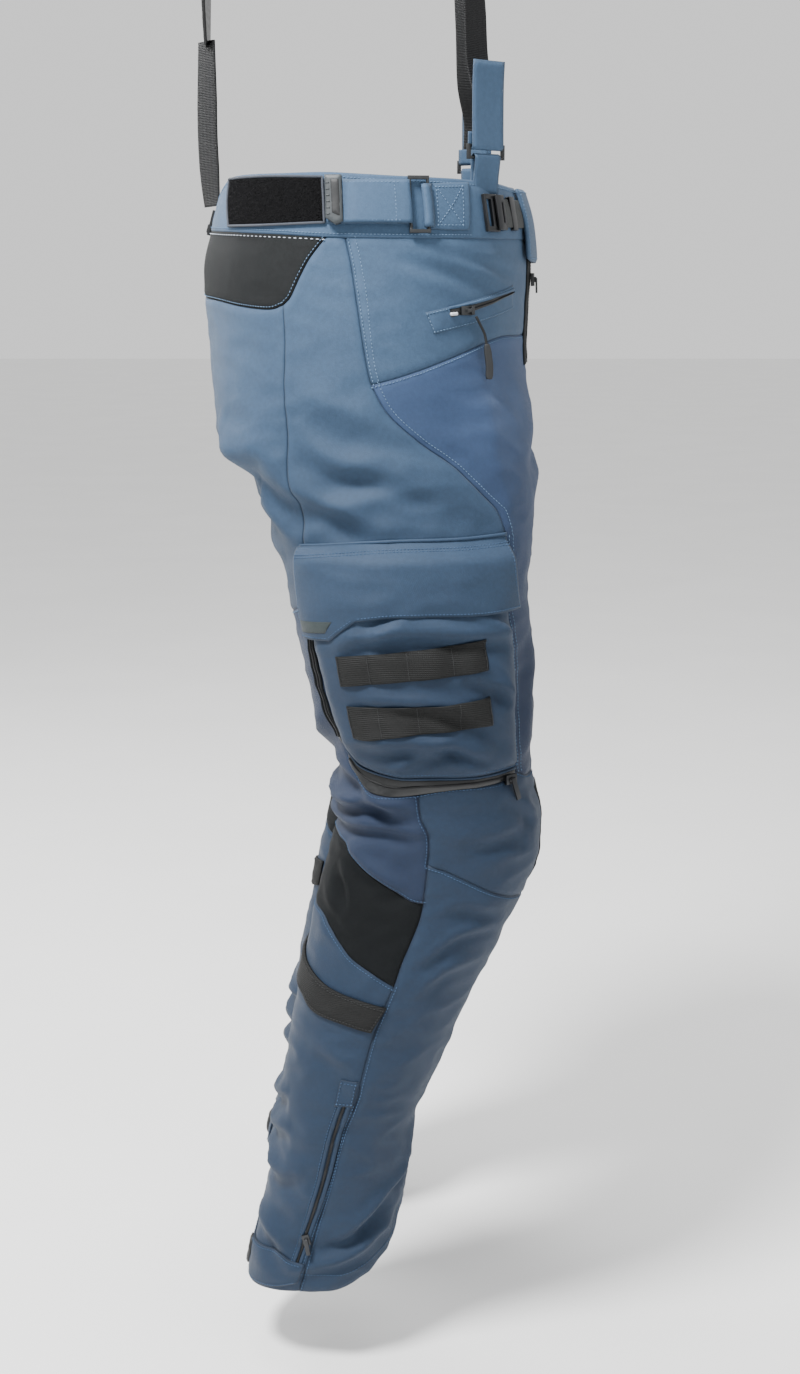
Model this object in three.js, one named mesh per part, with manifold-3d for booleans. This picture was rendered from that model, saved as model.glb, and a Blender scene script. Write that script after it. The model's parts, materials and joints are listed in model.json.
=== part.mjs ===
import * as THREE from "three";
import Module from "manifold-3d";

const wasm = await Module();
wasm.setup();
const { Manifold, CrossSection } = wasm;

// Work trousers with braces, in the shape they take when worn. Millimetres.
// +X is the wearer's front, +Y the wearer's left, +Z up. Z = 0 is in the waist opening.
const clothThick = 2.4; // shell cloth with its liner
const seamGap = 0.4; // between two panels at a seam
const bandThick = 4; // waistband
const pocketDepth = 16; // how far the full cargo pocket stands off the leg
const flapThick = 2.2;
const webWidth = 27; // webbing rows on the cargo pocket
const braceWidth = 28; // elastic of the braces
const foldWidth = 37; // folded cloth strap that joins the elastic to its ring
const shoulderTop = 436; // height of the braces over the shoulder

// Height, back x, front x, inner and outer distance from the middle plane.
const stations = [
  [40, -134, 136, 0, 158], [20, -136, 138, 0, 163], [-20, -147, 150, 0, 170],
  [-60, -157, 154, 0, 176], [-100, -156, 152, 0, 182], [-150, -151, 150, 0, 188],
  [-200, -140, 155, 0, 192], [-240, -124, 156, 1, 195], [-270, -100, 156, 4, 197],
  [-300, -87, 155, 8, 200], [-350, -75, 150, 16, 205], [-400, -65, 154, 25, 208],
  [-460, -52, 154, 35, 209], [-520, -30, 155, 45, 208], [-560, -33, 163, 52, 207],
  [-600, -38, 162, 57, 206], [-650, -51, 144, 60, 204], [-700, -61, 121, 62, 204],
  [-780, -76, 83, 64, 203], [-860, -91, 50, 66, 201], [-920, -99, 40, 67, 200],
  [-980, -114, 32, 68, 200], [-1050, -127, 22, 70, 201],
];
const riseTop = -110; // where the front and back rise start to curve in
const crotch = -272;
const hemStart = -840; // below this the hem tips up in front and down at the heel

const columns = 20;
const rows = [
  24, -8, -35, -75, -120, -160, -200, -240, -276, -310, -352, -395, -437, -480, -521,
  -558, -597, -636, -685, -745, -815, -885, -945, -1000, -1055,
];

function station(z, k) {
  const last = stations.length - 1;
  const q = Math.min(Math.max(z, stations[last][0]), stations[0][0]);
  let i = 0;
  while (i < last - 1 && q < stations[i + 1][0]) i++;
  const slope = (j) => {
    const a = stations[Math.max(j - 1, 0)];
    const b = stations[Math.min(j + 1, last)];
    return (b[k] - a[k]) / (b[0] - a[0]);
  };
  const [a, b] = [stations[i], stations[i + 1]];
  const h = b[0] - a[0];
  const t = (q - a[0]) / h;
  return (2 * t ** 3 - 3 * t * t + 1) * a[k] + (t ** 3 - 2 * t * t + t) * h * slope(i)
    + (3 * t * t - 2 * t ** 3) * b[k] + (t ** 3 - t * t) * h * slope(i + 1);
}

const power = (v, n) => Math.sign(v) * Math.abs(v) ** (2 / n);

// One level's outline. u runs from the front middle or inseam, round the outside, to the back.
function outline(u, z) {
  const inner = station(z, 3);
  const outer = station(z, 4);
  const drop = Math.min(Math.max((riseTop - z) / (riseTop - crotch), 0), 1);
  const hip = 1 - drop ** 2.4;
  const a = Math.PI * u;
  const middle = (inner + outer) / 2;
  const half = (outer - inner) / 2;
  const x = hip * power(Math.cos(a), 2.25) + (1 - hip) * power(Math.sin(2 * a), 2.3);
  const w = hip * outer * power(Math.sin(a), 2.25)
    + (1 - hip) * (middle - half * power(Math.cos(2 * a), 2.3));
  return [x, w];
}

const spans = new Map();
function span(z) {
  if (!spans.has(z)) {
    let [low, high] = [9, -9];
    for (let i = 0; i <= 96; i++) {
      const x = outline(i / 96, z)[0];
      low = Math.min(low, x);
      high = Math.max(high, x);
    }
    spans.set(z, [low, high]);
  }
  return spans.get(z);
}

// A point of the right side's outer cloth face.
function surface(u, z, middleGap) {
  const [x, w] = outline(u, z);
  const [low, high] = span(z);
  const [back, front] = [station(z, 1), station(z, 2)];
  const s = (2 * x - low - high) / (high - low);
  const tip = z < hemStart ? ((hemStart - z) / 200) ** 1.5 * 30 : 0;
  return new THREE.Vector3((back + front) / 2 + (front - back) / 2 * s, -w - middleGap, z + tip * s);
}

function normalAt(u, z) {
  const e = 0.004;
  const du = surface(u + e, z, 0).sub(surface(u - e, z, 0));
  const dz = surface(u, z + 1, 0).sub(surface(u, z - 1, 0));
  return dz.cross(du).normalize();
}

// A closed solid from two grids of points of the same size, the outer one and the inner one.
function slab(outer, inner) {
  const n = outer.length;
  const m = outer[0].length;
  const points = [...outer.flat(), ...inner.flat()];
  const faces = [];
  const at = (layer, i, j) => layer * n * m + i * m + j;
  const quad = (a, b, c, d) => faces.push(a, b, c, a, c, d);
  for (let i = 0; i + 1 < n; i++) {
    for (let j = 0; j + 1 < m; j++) {
      quad(at(0, i, j), at(0, i + 1, j), at(0, i + 1, j + 1), at(0, i, j + 1));
      quad(at(1, i, j), at(1, i, j + 1), at(1, i + 1, j + 1), at(1, i + 1, j));
    }
  }
  for (let j = 0; j + 1 < m; j++) {
    quad(at(0, 0, j), at(0, 0, j + 1), at(1, 0, j + 1), at(1, 0, j));
    quad(at(0, n - 1, j + 1), at(0, n - 1, j), at(1, n - 1, j), at(1, n - 1, j + 1));
  }
  for (let i = 0; i + 1 < n; i++) {
    quad(at(0, i + 1, 0), at(0, i, 0), at(1, i, 0), at(1, i + 1, 0));
    quad(at(0, i, m - 1), at(0, i + 1, m - 1), at(1, i + 1, m - 1), at(1, i, m - 1));
  }
  const flat = new Float32Array(points.flatMap((p) => [p.x, p.y, p.z]));
  const solid = new Manifold(new wasm.Mesh({
    numProp: 3, vertProperties: flat, triVerts: new Uint32Array(faces),
  }));
  return solid.volume() < 0 ? slab(inner, outer) : solid;
}

const edge = 0.0005; // keeps the two sides of the inseam apart
const gridU = (k) => edge + (1 - 2 * edge) * k / columns;
const corners = new Map();
function corner(k, r) {
  const key = `${k} ${r}`;
  if (!corners.has(key)) {
    corners.set(key, [surface(gridU(k), rows[r], 0.3), normalAt(gridU(k), rows[r])]);
  }
  return corners.get(key);
}

// A point at an offset from the faceted form, so that stacked pieces keep an even gap.
function onForm(u, z, off) {
  const q = (u - edge) / (1 - 2 * edge) * columns;
  const k = Math.floor(q + 1e-9);
  let r = 0;
  while (r < rows.length - 2 && rows[r + 1] > z) r++;
  const [f, g] = [q - k, (rows[r] - z) / (rows[r] - rows[r + 1])];
  const sum = new THREE.Vector3();
  for (const [dk, dr, share] of [[0, 0, (1 - f) * (1 - g)], [1, 0, f * (1 - g)], [0, 1, (1 - f) * g], [1, 1, f * g]]) {
    if (share < 1e-9) continue;
    const [point, normal] = corner(k + dk, r + dr);
    sum.addScaledVector(point, share).addScaledVector(normal, share * off);
  }
  return sum;
}

const within = (all, a, b) => [a, ...all.filter((v) => (v - a) * (v - b) < -1e-7), b];
const allU = Array.from({ length: 3 * columns + 1 }, (_, i) => gridU(i - columns));

// A layer of cloth on the form between two places round it and two heights, offset low to high.
function layer([u0, u1], [top, bottom], low, high) {
  const us = within(allU, u0, u1);
  const zs = within(rows, top, bottom);
  const grid = (off) => zs.map((z) => us.map((u) => onForm(u, z, typeof off === "function" ? off(u, z) : off)));
  return slab(grid(high), grid(low));
}

// A prism along Y under an outline drawn as seen from the side, between two distances w.
function prism(polygon, near = 0, far = 260, inset = seamGap / 2) {
  let flat = new CrossSection([polygon], "NonZero");
  if (inset) flat = flat.offset(-inset, "Miter", 2);
  return Manifold.extrude(flat, far - near).rotate([90, 0, 0]).translate([0, -near, 0]);
}

function box(x0, x1, y0, y1, z0, z1) {
  return Manifold.cube([x1 - x0, y1 - y0, z1 - z0]).translate([x0, y0, z0]);
}

const parts = new THREE.Group();
const looks = {
  blue: [0.42, 0.53, 0.64], indigo: [0.27, 0.35, 0.52], black: [0.1, 0.105, 0.11],
  web: [0.16, 0.17, 0.17], metal: [0.2, 0.2, 0.21], rubber: [0.3, 0.32, 0.33],
};

function add(name, solid, look, rough = 0.85) {
  const mesh = solid.getMesh();
  const geometry = new THREE.BufferGeometry();
  const position = new Float32Array(mesh.numVert * 3);
  for (let i = 0; i < mesh.numVert; i++) {
    for (let k = 0; k < 3; k++) position[3 * i + k] = mesh.vertProperties[i * mesh.numProp + k];
  }
  geometry.setAttribute("position", new THREE.BufferAttribute(position, 3));
  geometry.setIndex(new THREE.BufferAttribute(new Uint32Array(mesh.triVerts), 1));
  const color = new THREE.Color(...looks[look]);
  const metalness = look === "metal" ? 0.8 : 0;
  const item = new THREE.Mesh(geometry, new THREE.MeshStandardMaterial({ color, roughness: rough, metalness }));
  item.name = name;
  parts.add(item);
}

function pair(name, solid, look, rough) {
  add(`right_${name}`, solid, look, rough);
  add(`left_${name}`, solid.mirror([0, 1, 0]), look, rough);
}

// Keeps the largest body, for a cut that also leaves crumbs.
function largest(solid) {
  return solid.decompose().sort((a, b) => b.volume() - a.volume())[0];
}

// Seams, each as points of the side view: forward x, height.
const backSeam = [[-72, -91], [-71, -158], [-68, -210], [-62, -262], [-57, -308], [-51, -390], [-40, -460], [-19, -521]];
const hipSeam = [[-18, -36], [-12, -62], [-4, -112], [5, -161]];
const thighSeam = [[5, -161], [20, -188], [49, -212], [78, -232], [104, -258], [118, -274], [125, -295], [130, -360], [134, -420], [137, -465], [138, -521]];
const hipLow = [[5, -161], [111, -125], [141, -122], [400, -121]];
const yokeLow = [[-400, -84], [-155, -86], [-88, -98], [-72, -91], [-62, -78], [-33, -36]];
const kneeTop = -521;
const kneeSeam = [[45, kneeTop], [49, -558], [57, -566], [56, -597], [52, -636]];
const kneeLow = [[52, -636], [85, -640], [121, -648], [400, -656]];
const stretchLow = [[-400, -590], [-36, -588], [-15, -598], [2, -610], [22, -622], [38, -631], [52, -636]];
const calfLow = [[-400, -655], [-46, -655], [-38, -669], [-16, -692], [4, -705], [23, -719], [33, -690], [48, -655], [52, -636]];
const shankSeam = [[23, -719], [16, -760], [-4, -800], [-20, -836], [-42, -911], [-69, -1005], [-80, -1060]];
const inseamX = [[60, -100], [28, -272], [34, -300], [45, -400], [60, kneeTop]];
const far = 400;

// The whole right side as one skin, from which the panels are cut.
const inseam = layer([0.998, 1.0015], [-290, -1055], -clothThick, 0);
const skin = layer([edge, 1 - edge], [-35, -1055], -clothThick, 0).add(inseam);
const split = 95; // outer and inner leg are cut by different lines either side of this

const backOuter = [[-far, kneeTop], [-far, -60], ...yokeLow.slice(1, 4), ...backSeam.slice(1)];
const backInner = [[-far, kneeTop], [-far, -60], ...yokeLow.slice(1, 3), [60, -100], ...inseamX.slice(1)];
const frontOuter = [...thighSeam, [far, kneeTop], ...hipLow.slice(1).reverse()];
const frontInner = [...inseamX, [far, kneeTop], ...hipLow.slice(1).reverse()];
const sidePanel = [...hipSeam, ...thighSeam.slice(1), ...backSeam.slice().reverse(), ...yokeLow.slice(4)];
const hipPanel = [...hipSeam.slice().reverse(), [far, -36], ...hipLow.slice(1).reverse()];

const cut = (polygon, near, reach) => skin.intersect(prism(polygon, near, reach));
pair("back_panel", largest(cut(backOuter, split).add(cut(backInner, -20, split))), "blue");
pair("side_panel", largest(cut(sidePanel, split)), "blue");
pair("hip_panel", largest(cut(hipPanel, -20)), "blue");
pair("front_panel", largest(cut(frontOuter, split).add(cut(frontInner, -20, split))), "indigo");
pair("knee_front", largest(cut([...kneeSeam, ...kneeLow.slice(1), [far, kneeTop]], -20)), "blue");
pair("knee_rear", largest(cut([...kneeSeam, ...stretchLow.slice().reverse().slice(1), [-far, kneeTop]], -20)), "indigo");
pair("calf_panel", largest(cut([...stretchLow, ...calfLow.slice(1, -1).reverse(), [-far, -655]], -20)), "black");
pair("shank_front", largest(cut([...kneeLow, [far, -1100], [-80, -1100], ...shankSeam.slice().reverse(), [33, -690], [48, -655]], -20)), "blue");
pair("shank_rear", largest(cut([...calfLow.slice(0, 6), ...shankSeam.slice(1), [-80, -1100], [-far, -1100]], -20)), "blue");

// Back yoke and waistband, each one piece across the middle of the back.
const both = (polygon, inset) => prism(polygon, -260, 260, inset);
add("back_yoke", largest(layer([0.52, 1.48], [-35, -120], -clothThick, 0).intersect(both([[-34, -36], ...yokeLow.slice().reverse().slice(1, -1), [-far, -84], [-far, -36]]))), "black");

const bandTop = [[-far, 24], [-130, 22], [-30, 20], [80, 15], [150, 9], [far, 9]];
const bandEdge = 0.035;
const band = layer([bandEdge, 2 - bandEdge], [24, -35.6], bandThick * -0.75, bandThick * 0.25)
  .intersect(both([...bandTop, [far, -35.6], [-far, -35.6]], 0));

// A frame on the form. Its axes are forward along the cloth, out of it and up it.
function place(u, z, out) {
  const e = 0.003;
  const across = onForm(u - e, z, 0).sub(onForm(u + e, z, 0));
  const rise = onForm(u, z + 1.5, 0).sub(onForm(u, z - 1.5, 0));
  const n = across.cross(rise).normalize();
  if (n.dot(normalAt(u, z)) < 0) n.negate();
  const up = new THREE.Vector3(0, 0, 1).addScaledVector(n, -n.z).normalize();
  const along = n.clone().cross(up).negate();
  return new THREE.Matrix4().makeBasis(along, n, up).setPosition(onForm(u, z, 0).addScaledVector(n, out));
}

const moved = (solid, matrix) => solid.transform(matrix.toArray());

// Box in a local frame: lengths along, out and up, then where it sits.
function block(l, d, h, x = 0, y = 0, z = 0) {
  return box(x - l / 2, x + l / 2, y, y + d, z - h / 2, z + h / 2);
}

// A flat strap along a path, its face towards the given directions.
function ribbon(path, faces, width, thick, perSpan = 2) {
  const line = new THREE.CatmullRomCurve3(path.map((p) => new THREE.Vector3(...p)), false, "centripetal");
  const count = (path.length - 1) * perSpan;
  const outer = [];
  const inner = [];
  for (let i = 0; i <= count; i++) {
    const t = i / count;
    const k = Math.min(Math.floor(t * (faces.length - 1)), faces.length - 2);
    const f = t * (faces.length - 1) - k;
    const face = new THREE.Vector3(...faces[k]).lerp(new THREE.Vector3(...faces[k + 1]), f);
    const at = line.getPoint(t);
    const run = line.getTangent(t);
    face.addScaledVector(run, -face.dot(run)).normalize();
    const side = run.clone().cross(face).multiplyScalar(width / 2);
    const row = (off) => [-1, 1].map((s) => at.clone().addScaledVector(side, s).addScaledVector(face, off));
    outer.push(row(thick / 2));
    inner.push(row(-thick / 2));
  }
  return slab(outer, inner);
}

const area = (polygon) => prism(polygon, 0, 260, 0);

// Waist adjuster: a ring in the anchor's loop, a strap folded round the ring, a grip at its end.
const ringBar = 1.4;
const ringHalf = 8; // from the ring's middle to each bar
const ringAt = place(0.415, -8, 4.3);
const ringX = ringAt.elements[12];
const upright = (x, r, h, sides = 12) => Manifold.cylinder(h, r, r, sides, true).translate([x, 0, 0]);
const sideBar = (z) => block(2 * ringHalf + 3, 2.8, 3, 0, -1.4, z);
const ring = upright(-ringHalf, ringBar, 46).add(upright(ringHalf, ringBar, 46)).add(sideBar(23)).add(sideBar(-23));
pair("adjuster_ring", moved(ring, ringAt), "metal", 0.4);
const boreAt = (x) => moved(upright(x, ringBar + 0.4, 90), ringAt);

const anchor = layer([0.28, 0.43], [24, -35], 0.5, 5)
  .intersect(area([[ringX + 8.5, 10.5], [89, 11], [89, -30], [ringX + 8.5, -28]]))
  .add(moved(upright(ringHalf, 3, 38), ringAt)).subtract(boreAt(ringHalf));

const strapLayer = (low, high) => layer([0.4, 0.62], [24, -35], low, high);
const strapArea = area([[-20, 15], [ringX - 8, 11], [ringX - 8, -25], [-20, -22]]);
const strap = strapLayer(1.5, 2.7).intersect(strapArea).add(strapLayer(5.9, 7.1).intersect(strapArea))
  .add(strapLayer(1.5, 7.1).intersect(area([[-32, 15], [-12, 15], [-12, -22], [-29, -18]])))
  .add(moved(upright(-ringHalf, 2.9, 36, 16), ringAt)).subtract(boreAt(-ringHalf));
pair("adjuster_strap", largest(strap), "blue");

// Braces: tab on the band, ring, strap folded round the ring, elastic over the shoulder, one strap behind.
const braceFrame = new THREE.Matrix4().makeBasis(
  new THREE.Vector3(0.75, 0.66, 0).normalize(), new THREE.Vector3(0.66, -0.75, 0).normalize(),
  new THREE.Vector3(0, 0, 1),
).setPosition(106, -121, 12);
const bar = (z, r, length = foldWidth - 1) => Manifold.cylinder(length, r, r, 12, true).rotate([0, 90, 0]).translate([0, 0, z]);
const ringLow = 22;
const ringHigh = 32;
const braceRing = bar(ringLow, 1.5, 41).add(bar(ringHigh, 1.5, 41))
  .add(block(3, 3, 13, -20.7, -1.5, 27)).add(block(3, 3, 13, 20.7, -1.5, 27));
pair("brace_ring", moved(braceRing, braceFrame), "metal", 0.4);
const tab = block(30, 2.6, 24, 0, -3.4, 8).add(bar(ringLow, 3.2, 30)).subtract(bar(ringLow, 1.9, 60));
const fold = bar(ringHigh, 3.2, 34).add(block(foldWidth, 1.6, 72, 0, 1.6, 32 + 36)).subtract(bar(ringHigh, 1.9, 60));
pair("brace_fold", moved(largest(fold), braceFrame), "blue");
const lift = (x, y, z) => new THREE.Vector3(x, y, z).applyMatrix4(braceFrame).toArray();
const shoulder = [
  lift(0, -1.4, 36.5), lift(0, -0.8, 70), [98, -111, 118], [95, -107, 173], [87, -105, 250], [67, -104, 330],
  [33, -104, 402], [-20, -103, shoulderTop], [-78, -97, 412], [-120, -78, 345], [-142, -46, 262], [-149.5, -21, 202],
];
const facing = [
  [0.66, -0.75, 0], [0.66, -0.75, 0], [0.72, -0.7, 0], [0.85, -0.5, 0.2], [0.75, -0.35, 0.55],
  [0, -0.2, 1], [-0.7, -0.3, 0.6], [-0.95, -0.3, 0.2], [-1, -0.1, 0.05],
];
pair("brace_strap", ribbon(shoulder, facing, braceWidth, 2.2), "black");

const crossPatch = Manifold.extrude(new CrossSection([[[-34, 196.6], [34, 196.6], [16, 141], [-16, 141]]], "NonZero"), 4)
  .rotate([90, 0, 90]).translate([-153, 0, 0]);
const backPath = [[-151, 0, 145], [-152, 0, 105], [-152, 0, 50], [-149.5, 0, 15], [-149.5, 0, -5]];
const backFace = [[-1, 0, 0], [-0.87, -0.5, 0], [-0.87, -0.5, 0], [-1, 0, 0]];
add("brace_back", largest(crossPatch.add(ribbon(backPath, backFace, braceWidth + 4, 2.4, 3))), "black");
const clip = block(18, 3, 24, 0, 0, 0).add(block(10, 2, 8, 0, 2.5, -6)).add(block(22, 2.4, 4, 0, 0.3, 10));
add("brace_clip", moved(clip, place(1, -20, 1.5)), "metal", 0.4);

add("waistband", largest(band.add(anchor).add(anchor.mirror([0, 1, 0]))
  .add(moved(tab, braceFrame)).add(moved(tab, braceFrame).mirror([0, 1, 0]))), "blue");

// Cargo pocket: an open-topped bag, two rows of webbing, a flap, and a slider on the zip below.
const swell = (low, high) => (u, z) => {
  const across = Math.min(Math.max((u - 0.34) / 0.32, 0), 1);
  const down = Math.min(Math.max((-235 - z) / 285, 0), 1);
  return low + (high - low) * (4 * across * (1 - across)) ** 0.5 * (4 * down * (1 - down)) ** 0.5;
};
const bagLayer = (low, high) => layer([0.32, 0.68], [-290, -520], low, high);
const bagArea = [
  [-57, -318], [125, -314], [130, -362], [135, -465], [136, -511], [22, -511], [-8, -504],
  [-19, -494], [-39, -438], [-48, -390],
];
const hollowArea = [
  [-53, -280], [120, -280], [127, -362], [131, -465], [132, -507], [22, -507], [-6, -500],
  [-15, -490], [-35, -438], [-44, -390],
];
const bag = bagLayer(0.5, swell(5, pocketDepth)).intersect(prism(bagArea, split))
  .subtract(bagLayer(-1, swell(3.4, pocketDepth - 1.6)).intersect(prism(hollowArea, split)));
pair("cargo_bag", largest(bag), "blue");
const webRow = (polygon) => largest(bagLayer(swell(5.4, pocketDepth + 0.4), swell(7, pocketDepth + 2)).intersect(prism(polygon, split)));
pair("webbing_upper", webRow([[-22, -400], [101, -385], [103, -385 - webWidth], [-17, -401 - webWidth]]), "web");
pair("webbing_lower", webRow([[-12, -445], [107, -437], [107, -462], [8, -472], [-10, -472]]), "web");
const flapArea = [[-56, -290], [122, -290], [126, -303], [132, -362], [34, -362], [-5, -368], [-26, -385], [-54, -388]];
const flapTop = -299;
const overBag = (extra) => (u, z) => (z > flapTop - 2 ? 0.8 + extra : swell(5, pocketDepth)(u, z) + 0.6 + extra);
const flap = layer([0.32, 0.68], [flapTop, -410], overBag(0), overBag(flapThick));
pair("cargo_flap", largest(flap.intersect(prism(flapArea, split))), "blue");

// Zip sliders: a body with a bridge and a pull. Local axes: along the zip, out, across.
const turned = (solid, degrees) => solid.rotate([0, degrees, 0]);
const slider = (s, pull, body, hang) => turned(block(12 * s, 3 * s, 8 * s).add(block(5 * s, 2.2 * s, 3 * s, 0, 2.9 * s)), body)
  .add(turned(block(pull, 1.6 * s, 4.5 * s, pull / 2 - 1.5, 4.2 * s), hang));
pair("cargo_slider", moved(slider(1.1, 22, 0, 72), place(0.375, -519, 0.93)), "metal", 0.4);
const tag = (x, z) => block(2.6, 2.6, 2.6, x, 4.8, z);
const puller = Manifold.hull([tag(6.5, -5.8), tag(11, -17)]).add(Manifold.hull([tag(11, -17), tag(17, -32)]))
  .add(Manifold.hull([block(6, 4.4, 2, 17.5, 3.8, -31), block(8, 4.4, 2, 20, 3.8, -60)]));
pair("hand_slider", moved(block(13, 3, 8).add(block(6, 2.4, 3, 1, 2.9)).add(block(3, 2, 8, 4, 4)), place(0.316, -98, 0.8)), "metal", 0.4);
pair("hand_puller", moved(puller, place(0.316, -98, 0.8)), "rubber");
pair("ankle_slider", moved(slider(0.9, 16, 75, 80), place(0.54, -975, 0.6)), "metal", 0.4);

// Straps that close with hook and loop at the calf, and with a stud at the hem.
const calfWrap = layer([0.46, 0.82], [-690, -785], 1, 3);
pair("calf_strap", largest(calfWrap.intersect(area([
  [-100, -690], [-60, -705], [-38, -722], [-4, -732], [17, -738], [9, -763], [-23, -756], [-50, -750], [-100, -722],
]))), "black");
const hemWrap = layer([0.5, 0.8], [-960, -1055], 0.8, 3);
pair("hem_tab", largest(hemWrap.intersect(area([
  [-150, -1010], [-116, -1006], [-93, -1001], [-66, -1002], [-74, -1030], [-116, -1048], [-150, -1052],
]))), "blue");

// Fly: a zip down the front just right of the middle, and the flap that closes over its top.
add("fly_zip", layer([0.045, 0.1], [-60, -150], 1.2, 2.6), "black");
add("fly_flap", layer([-0.13, 0.13], [9, -56], 4.9, 7.1), "blue");
add("fly_slider", moved(slider(1, 14, 90, 90), place(0.072, -72, 3.5)), "metal", 0.4);

// Buckle beside the fly: a frame, a hook plate, a glide, and webbing that runs behind the flap.
const buckleAt = place(0.232, -14, 1.5);
const frame = block(19, 3.6, 33, -10).subtract(block(8, 9, 24, -13, -1)).subtract(block(3.2, 9, 24, -3.7, -1));
add("buckle_frame", moved(frame, buckleAt), "metal", 0.35);
const hook = block(1.6, 5.4, 22, -3.1, 0.7).add(block(6, 2, 31, -1.3, 4.1)).add(block(8, 5.1, 31, 4, 1))
  .subtract(block(2.2, 12, 18, 4.4, -1));
add("buckle_hook", moved(hook, buckleAt), "metal", 0.3);
add("buckle_glide", moved(block(10, 4.6, 30, 0, -0.4).subtract(block(16, 2.6, 26, 0, 0.6)), place(0.175, -14, 1.5)), "metal", 0.35);
add("buckle_webbing", layer([-0.1, 0.21], [-2, -26], 2.7, 4.1), "web");

export default parts;
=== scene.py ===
import json
import math

import bmesh
import bpy
import numpy as np
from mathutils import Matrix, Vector, noise
from mathutils.geometry import delaunay_2d_cdt

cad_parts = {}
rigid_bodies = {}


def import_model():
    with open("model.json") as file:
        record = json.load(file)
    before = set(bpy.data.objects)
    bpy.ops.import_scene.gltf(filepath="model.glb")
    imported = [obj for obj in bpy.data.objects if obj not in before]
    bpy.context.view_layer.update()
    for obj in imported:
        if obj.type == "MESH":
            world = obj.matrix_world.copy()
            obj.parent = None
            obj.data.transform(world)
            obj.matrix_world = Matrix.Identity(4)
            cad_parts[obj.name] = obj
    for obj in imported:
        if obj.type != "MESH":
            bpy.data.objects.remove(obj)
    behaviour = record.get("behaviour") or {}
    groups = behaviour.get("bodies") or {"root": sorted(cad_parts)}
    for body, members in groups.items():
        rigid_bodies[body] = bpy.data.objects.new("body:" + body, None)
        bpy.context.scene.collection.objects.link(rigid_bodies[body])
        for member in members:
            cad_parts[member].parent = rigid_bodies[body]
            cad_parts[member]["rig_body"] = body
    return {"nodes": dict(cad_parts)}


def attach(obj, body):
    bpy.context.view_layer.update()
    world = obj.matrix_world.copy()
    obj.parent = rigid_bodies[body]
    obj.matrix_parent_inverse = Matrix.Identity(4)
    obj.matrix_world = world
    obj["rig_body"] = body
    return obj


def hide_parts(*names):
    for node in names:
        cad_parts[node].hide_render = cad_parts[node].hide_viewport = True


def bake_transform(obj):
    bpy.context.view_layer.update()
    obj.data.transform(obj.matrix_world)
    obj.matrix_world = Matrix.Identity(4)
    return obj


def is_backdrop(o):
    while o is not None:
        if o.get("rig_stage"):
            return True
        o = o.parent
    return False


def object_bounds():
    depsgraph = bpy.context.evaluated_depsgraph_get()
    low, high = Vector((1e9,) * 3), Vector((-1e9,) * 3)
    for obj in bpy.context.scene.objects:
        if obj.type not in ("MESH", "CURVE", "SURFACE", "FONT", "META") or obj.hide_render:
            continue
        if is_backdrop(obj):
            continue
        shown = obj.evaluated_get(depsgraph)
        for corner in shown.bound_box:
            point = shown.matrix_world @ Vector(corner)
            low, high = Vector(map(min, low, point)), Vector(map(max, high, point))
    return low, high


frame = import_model()
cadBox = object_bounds()
cadNodes = frame["nodes"]
hands = {"right": 1, "left": -1}
print("frame loaded:", len(cadNodes), "nodes")

# The worn shape of the trousers, in millimetres, right side
worn = {
    "stations": [  # height, back x, front x, inner and outer distance from the middle plane
        [40, -134, 136, 0, 158], [20, -136, 138, 0, 163], [-20, -147, 150, 0, 170],
        [-60, -157, 154, 0, 176], [-100, -156, 152, 0, 182], [-150, -151, 150, 0, 188],
        [-200, -140, 155, 0, 192], [-240, -124, 156, 1, 195], [-270, -100, 156, 4, 197],
        [-300, -87, 155, 8, 200], [-350, -75, 150, 16, 205], [-400, -65, 154, 25, 208],
        [-460, -52, 154, 35, 209], [-520, -30, 155, 45, 208], [-560, -33, 163, 52, 207],
        [-600, -38, 162, 57, 206], [-650, -51, 144, 60, 204], [-700, -61, 121, 62, 204],
        [-780, -76, 83, 64, 203], [-860, -91, 50, 66, 201], [-920, -99, 40, 67, 200],
        [-980, -114, 32, 68, 200], [-1050, -127, 22, 70, 201],
    ],
    "riseTop": -110,
    "crotch": -272,
    "hemStart": -840,  # below this the hem tips up in front
    "flatScale": 560.0,  # millimetres of cloth for one turn of u
}
levels = np.array(worn["stations"], float)
flatScale = worn["flatScale"]
ends = np.arange(len(levels))
before, after = levels[np.maximum(ends - 1, 0)], levels[np.minimum(ends + 1, len(levels) - 1)]
levelSlopes = (after - before) / (after[:, :1] - before[:, :1])


def stationAt(z, k):
    q = np.clip(z, levels[-1, 0], levels[0, 0])
    i = np.clip(np.searchsorted(-levels[:, 0], -q) - 1, 0, len(levels) - 2)
    h = levels[i + 1, 0] - levels[i, 0]
    t = (q - levels[i, 0]) / h
    near = (2 * t**3 - 3 * t * t + 1) * levels[i, k] + (t**3 - 2 * t * t + t) * h * levelSlopes[i, k]
    far = (3 * t * t - 2 * t**3) * levels[i + 1, k] + (t**3 - t * t) * h * levelSlopes[i + 1, k]
    return near + far


def power(v, n):
    return np.sign(v) * np.abs(v) ** (2 / n)


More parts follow.
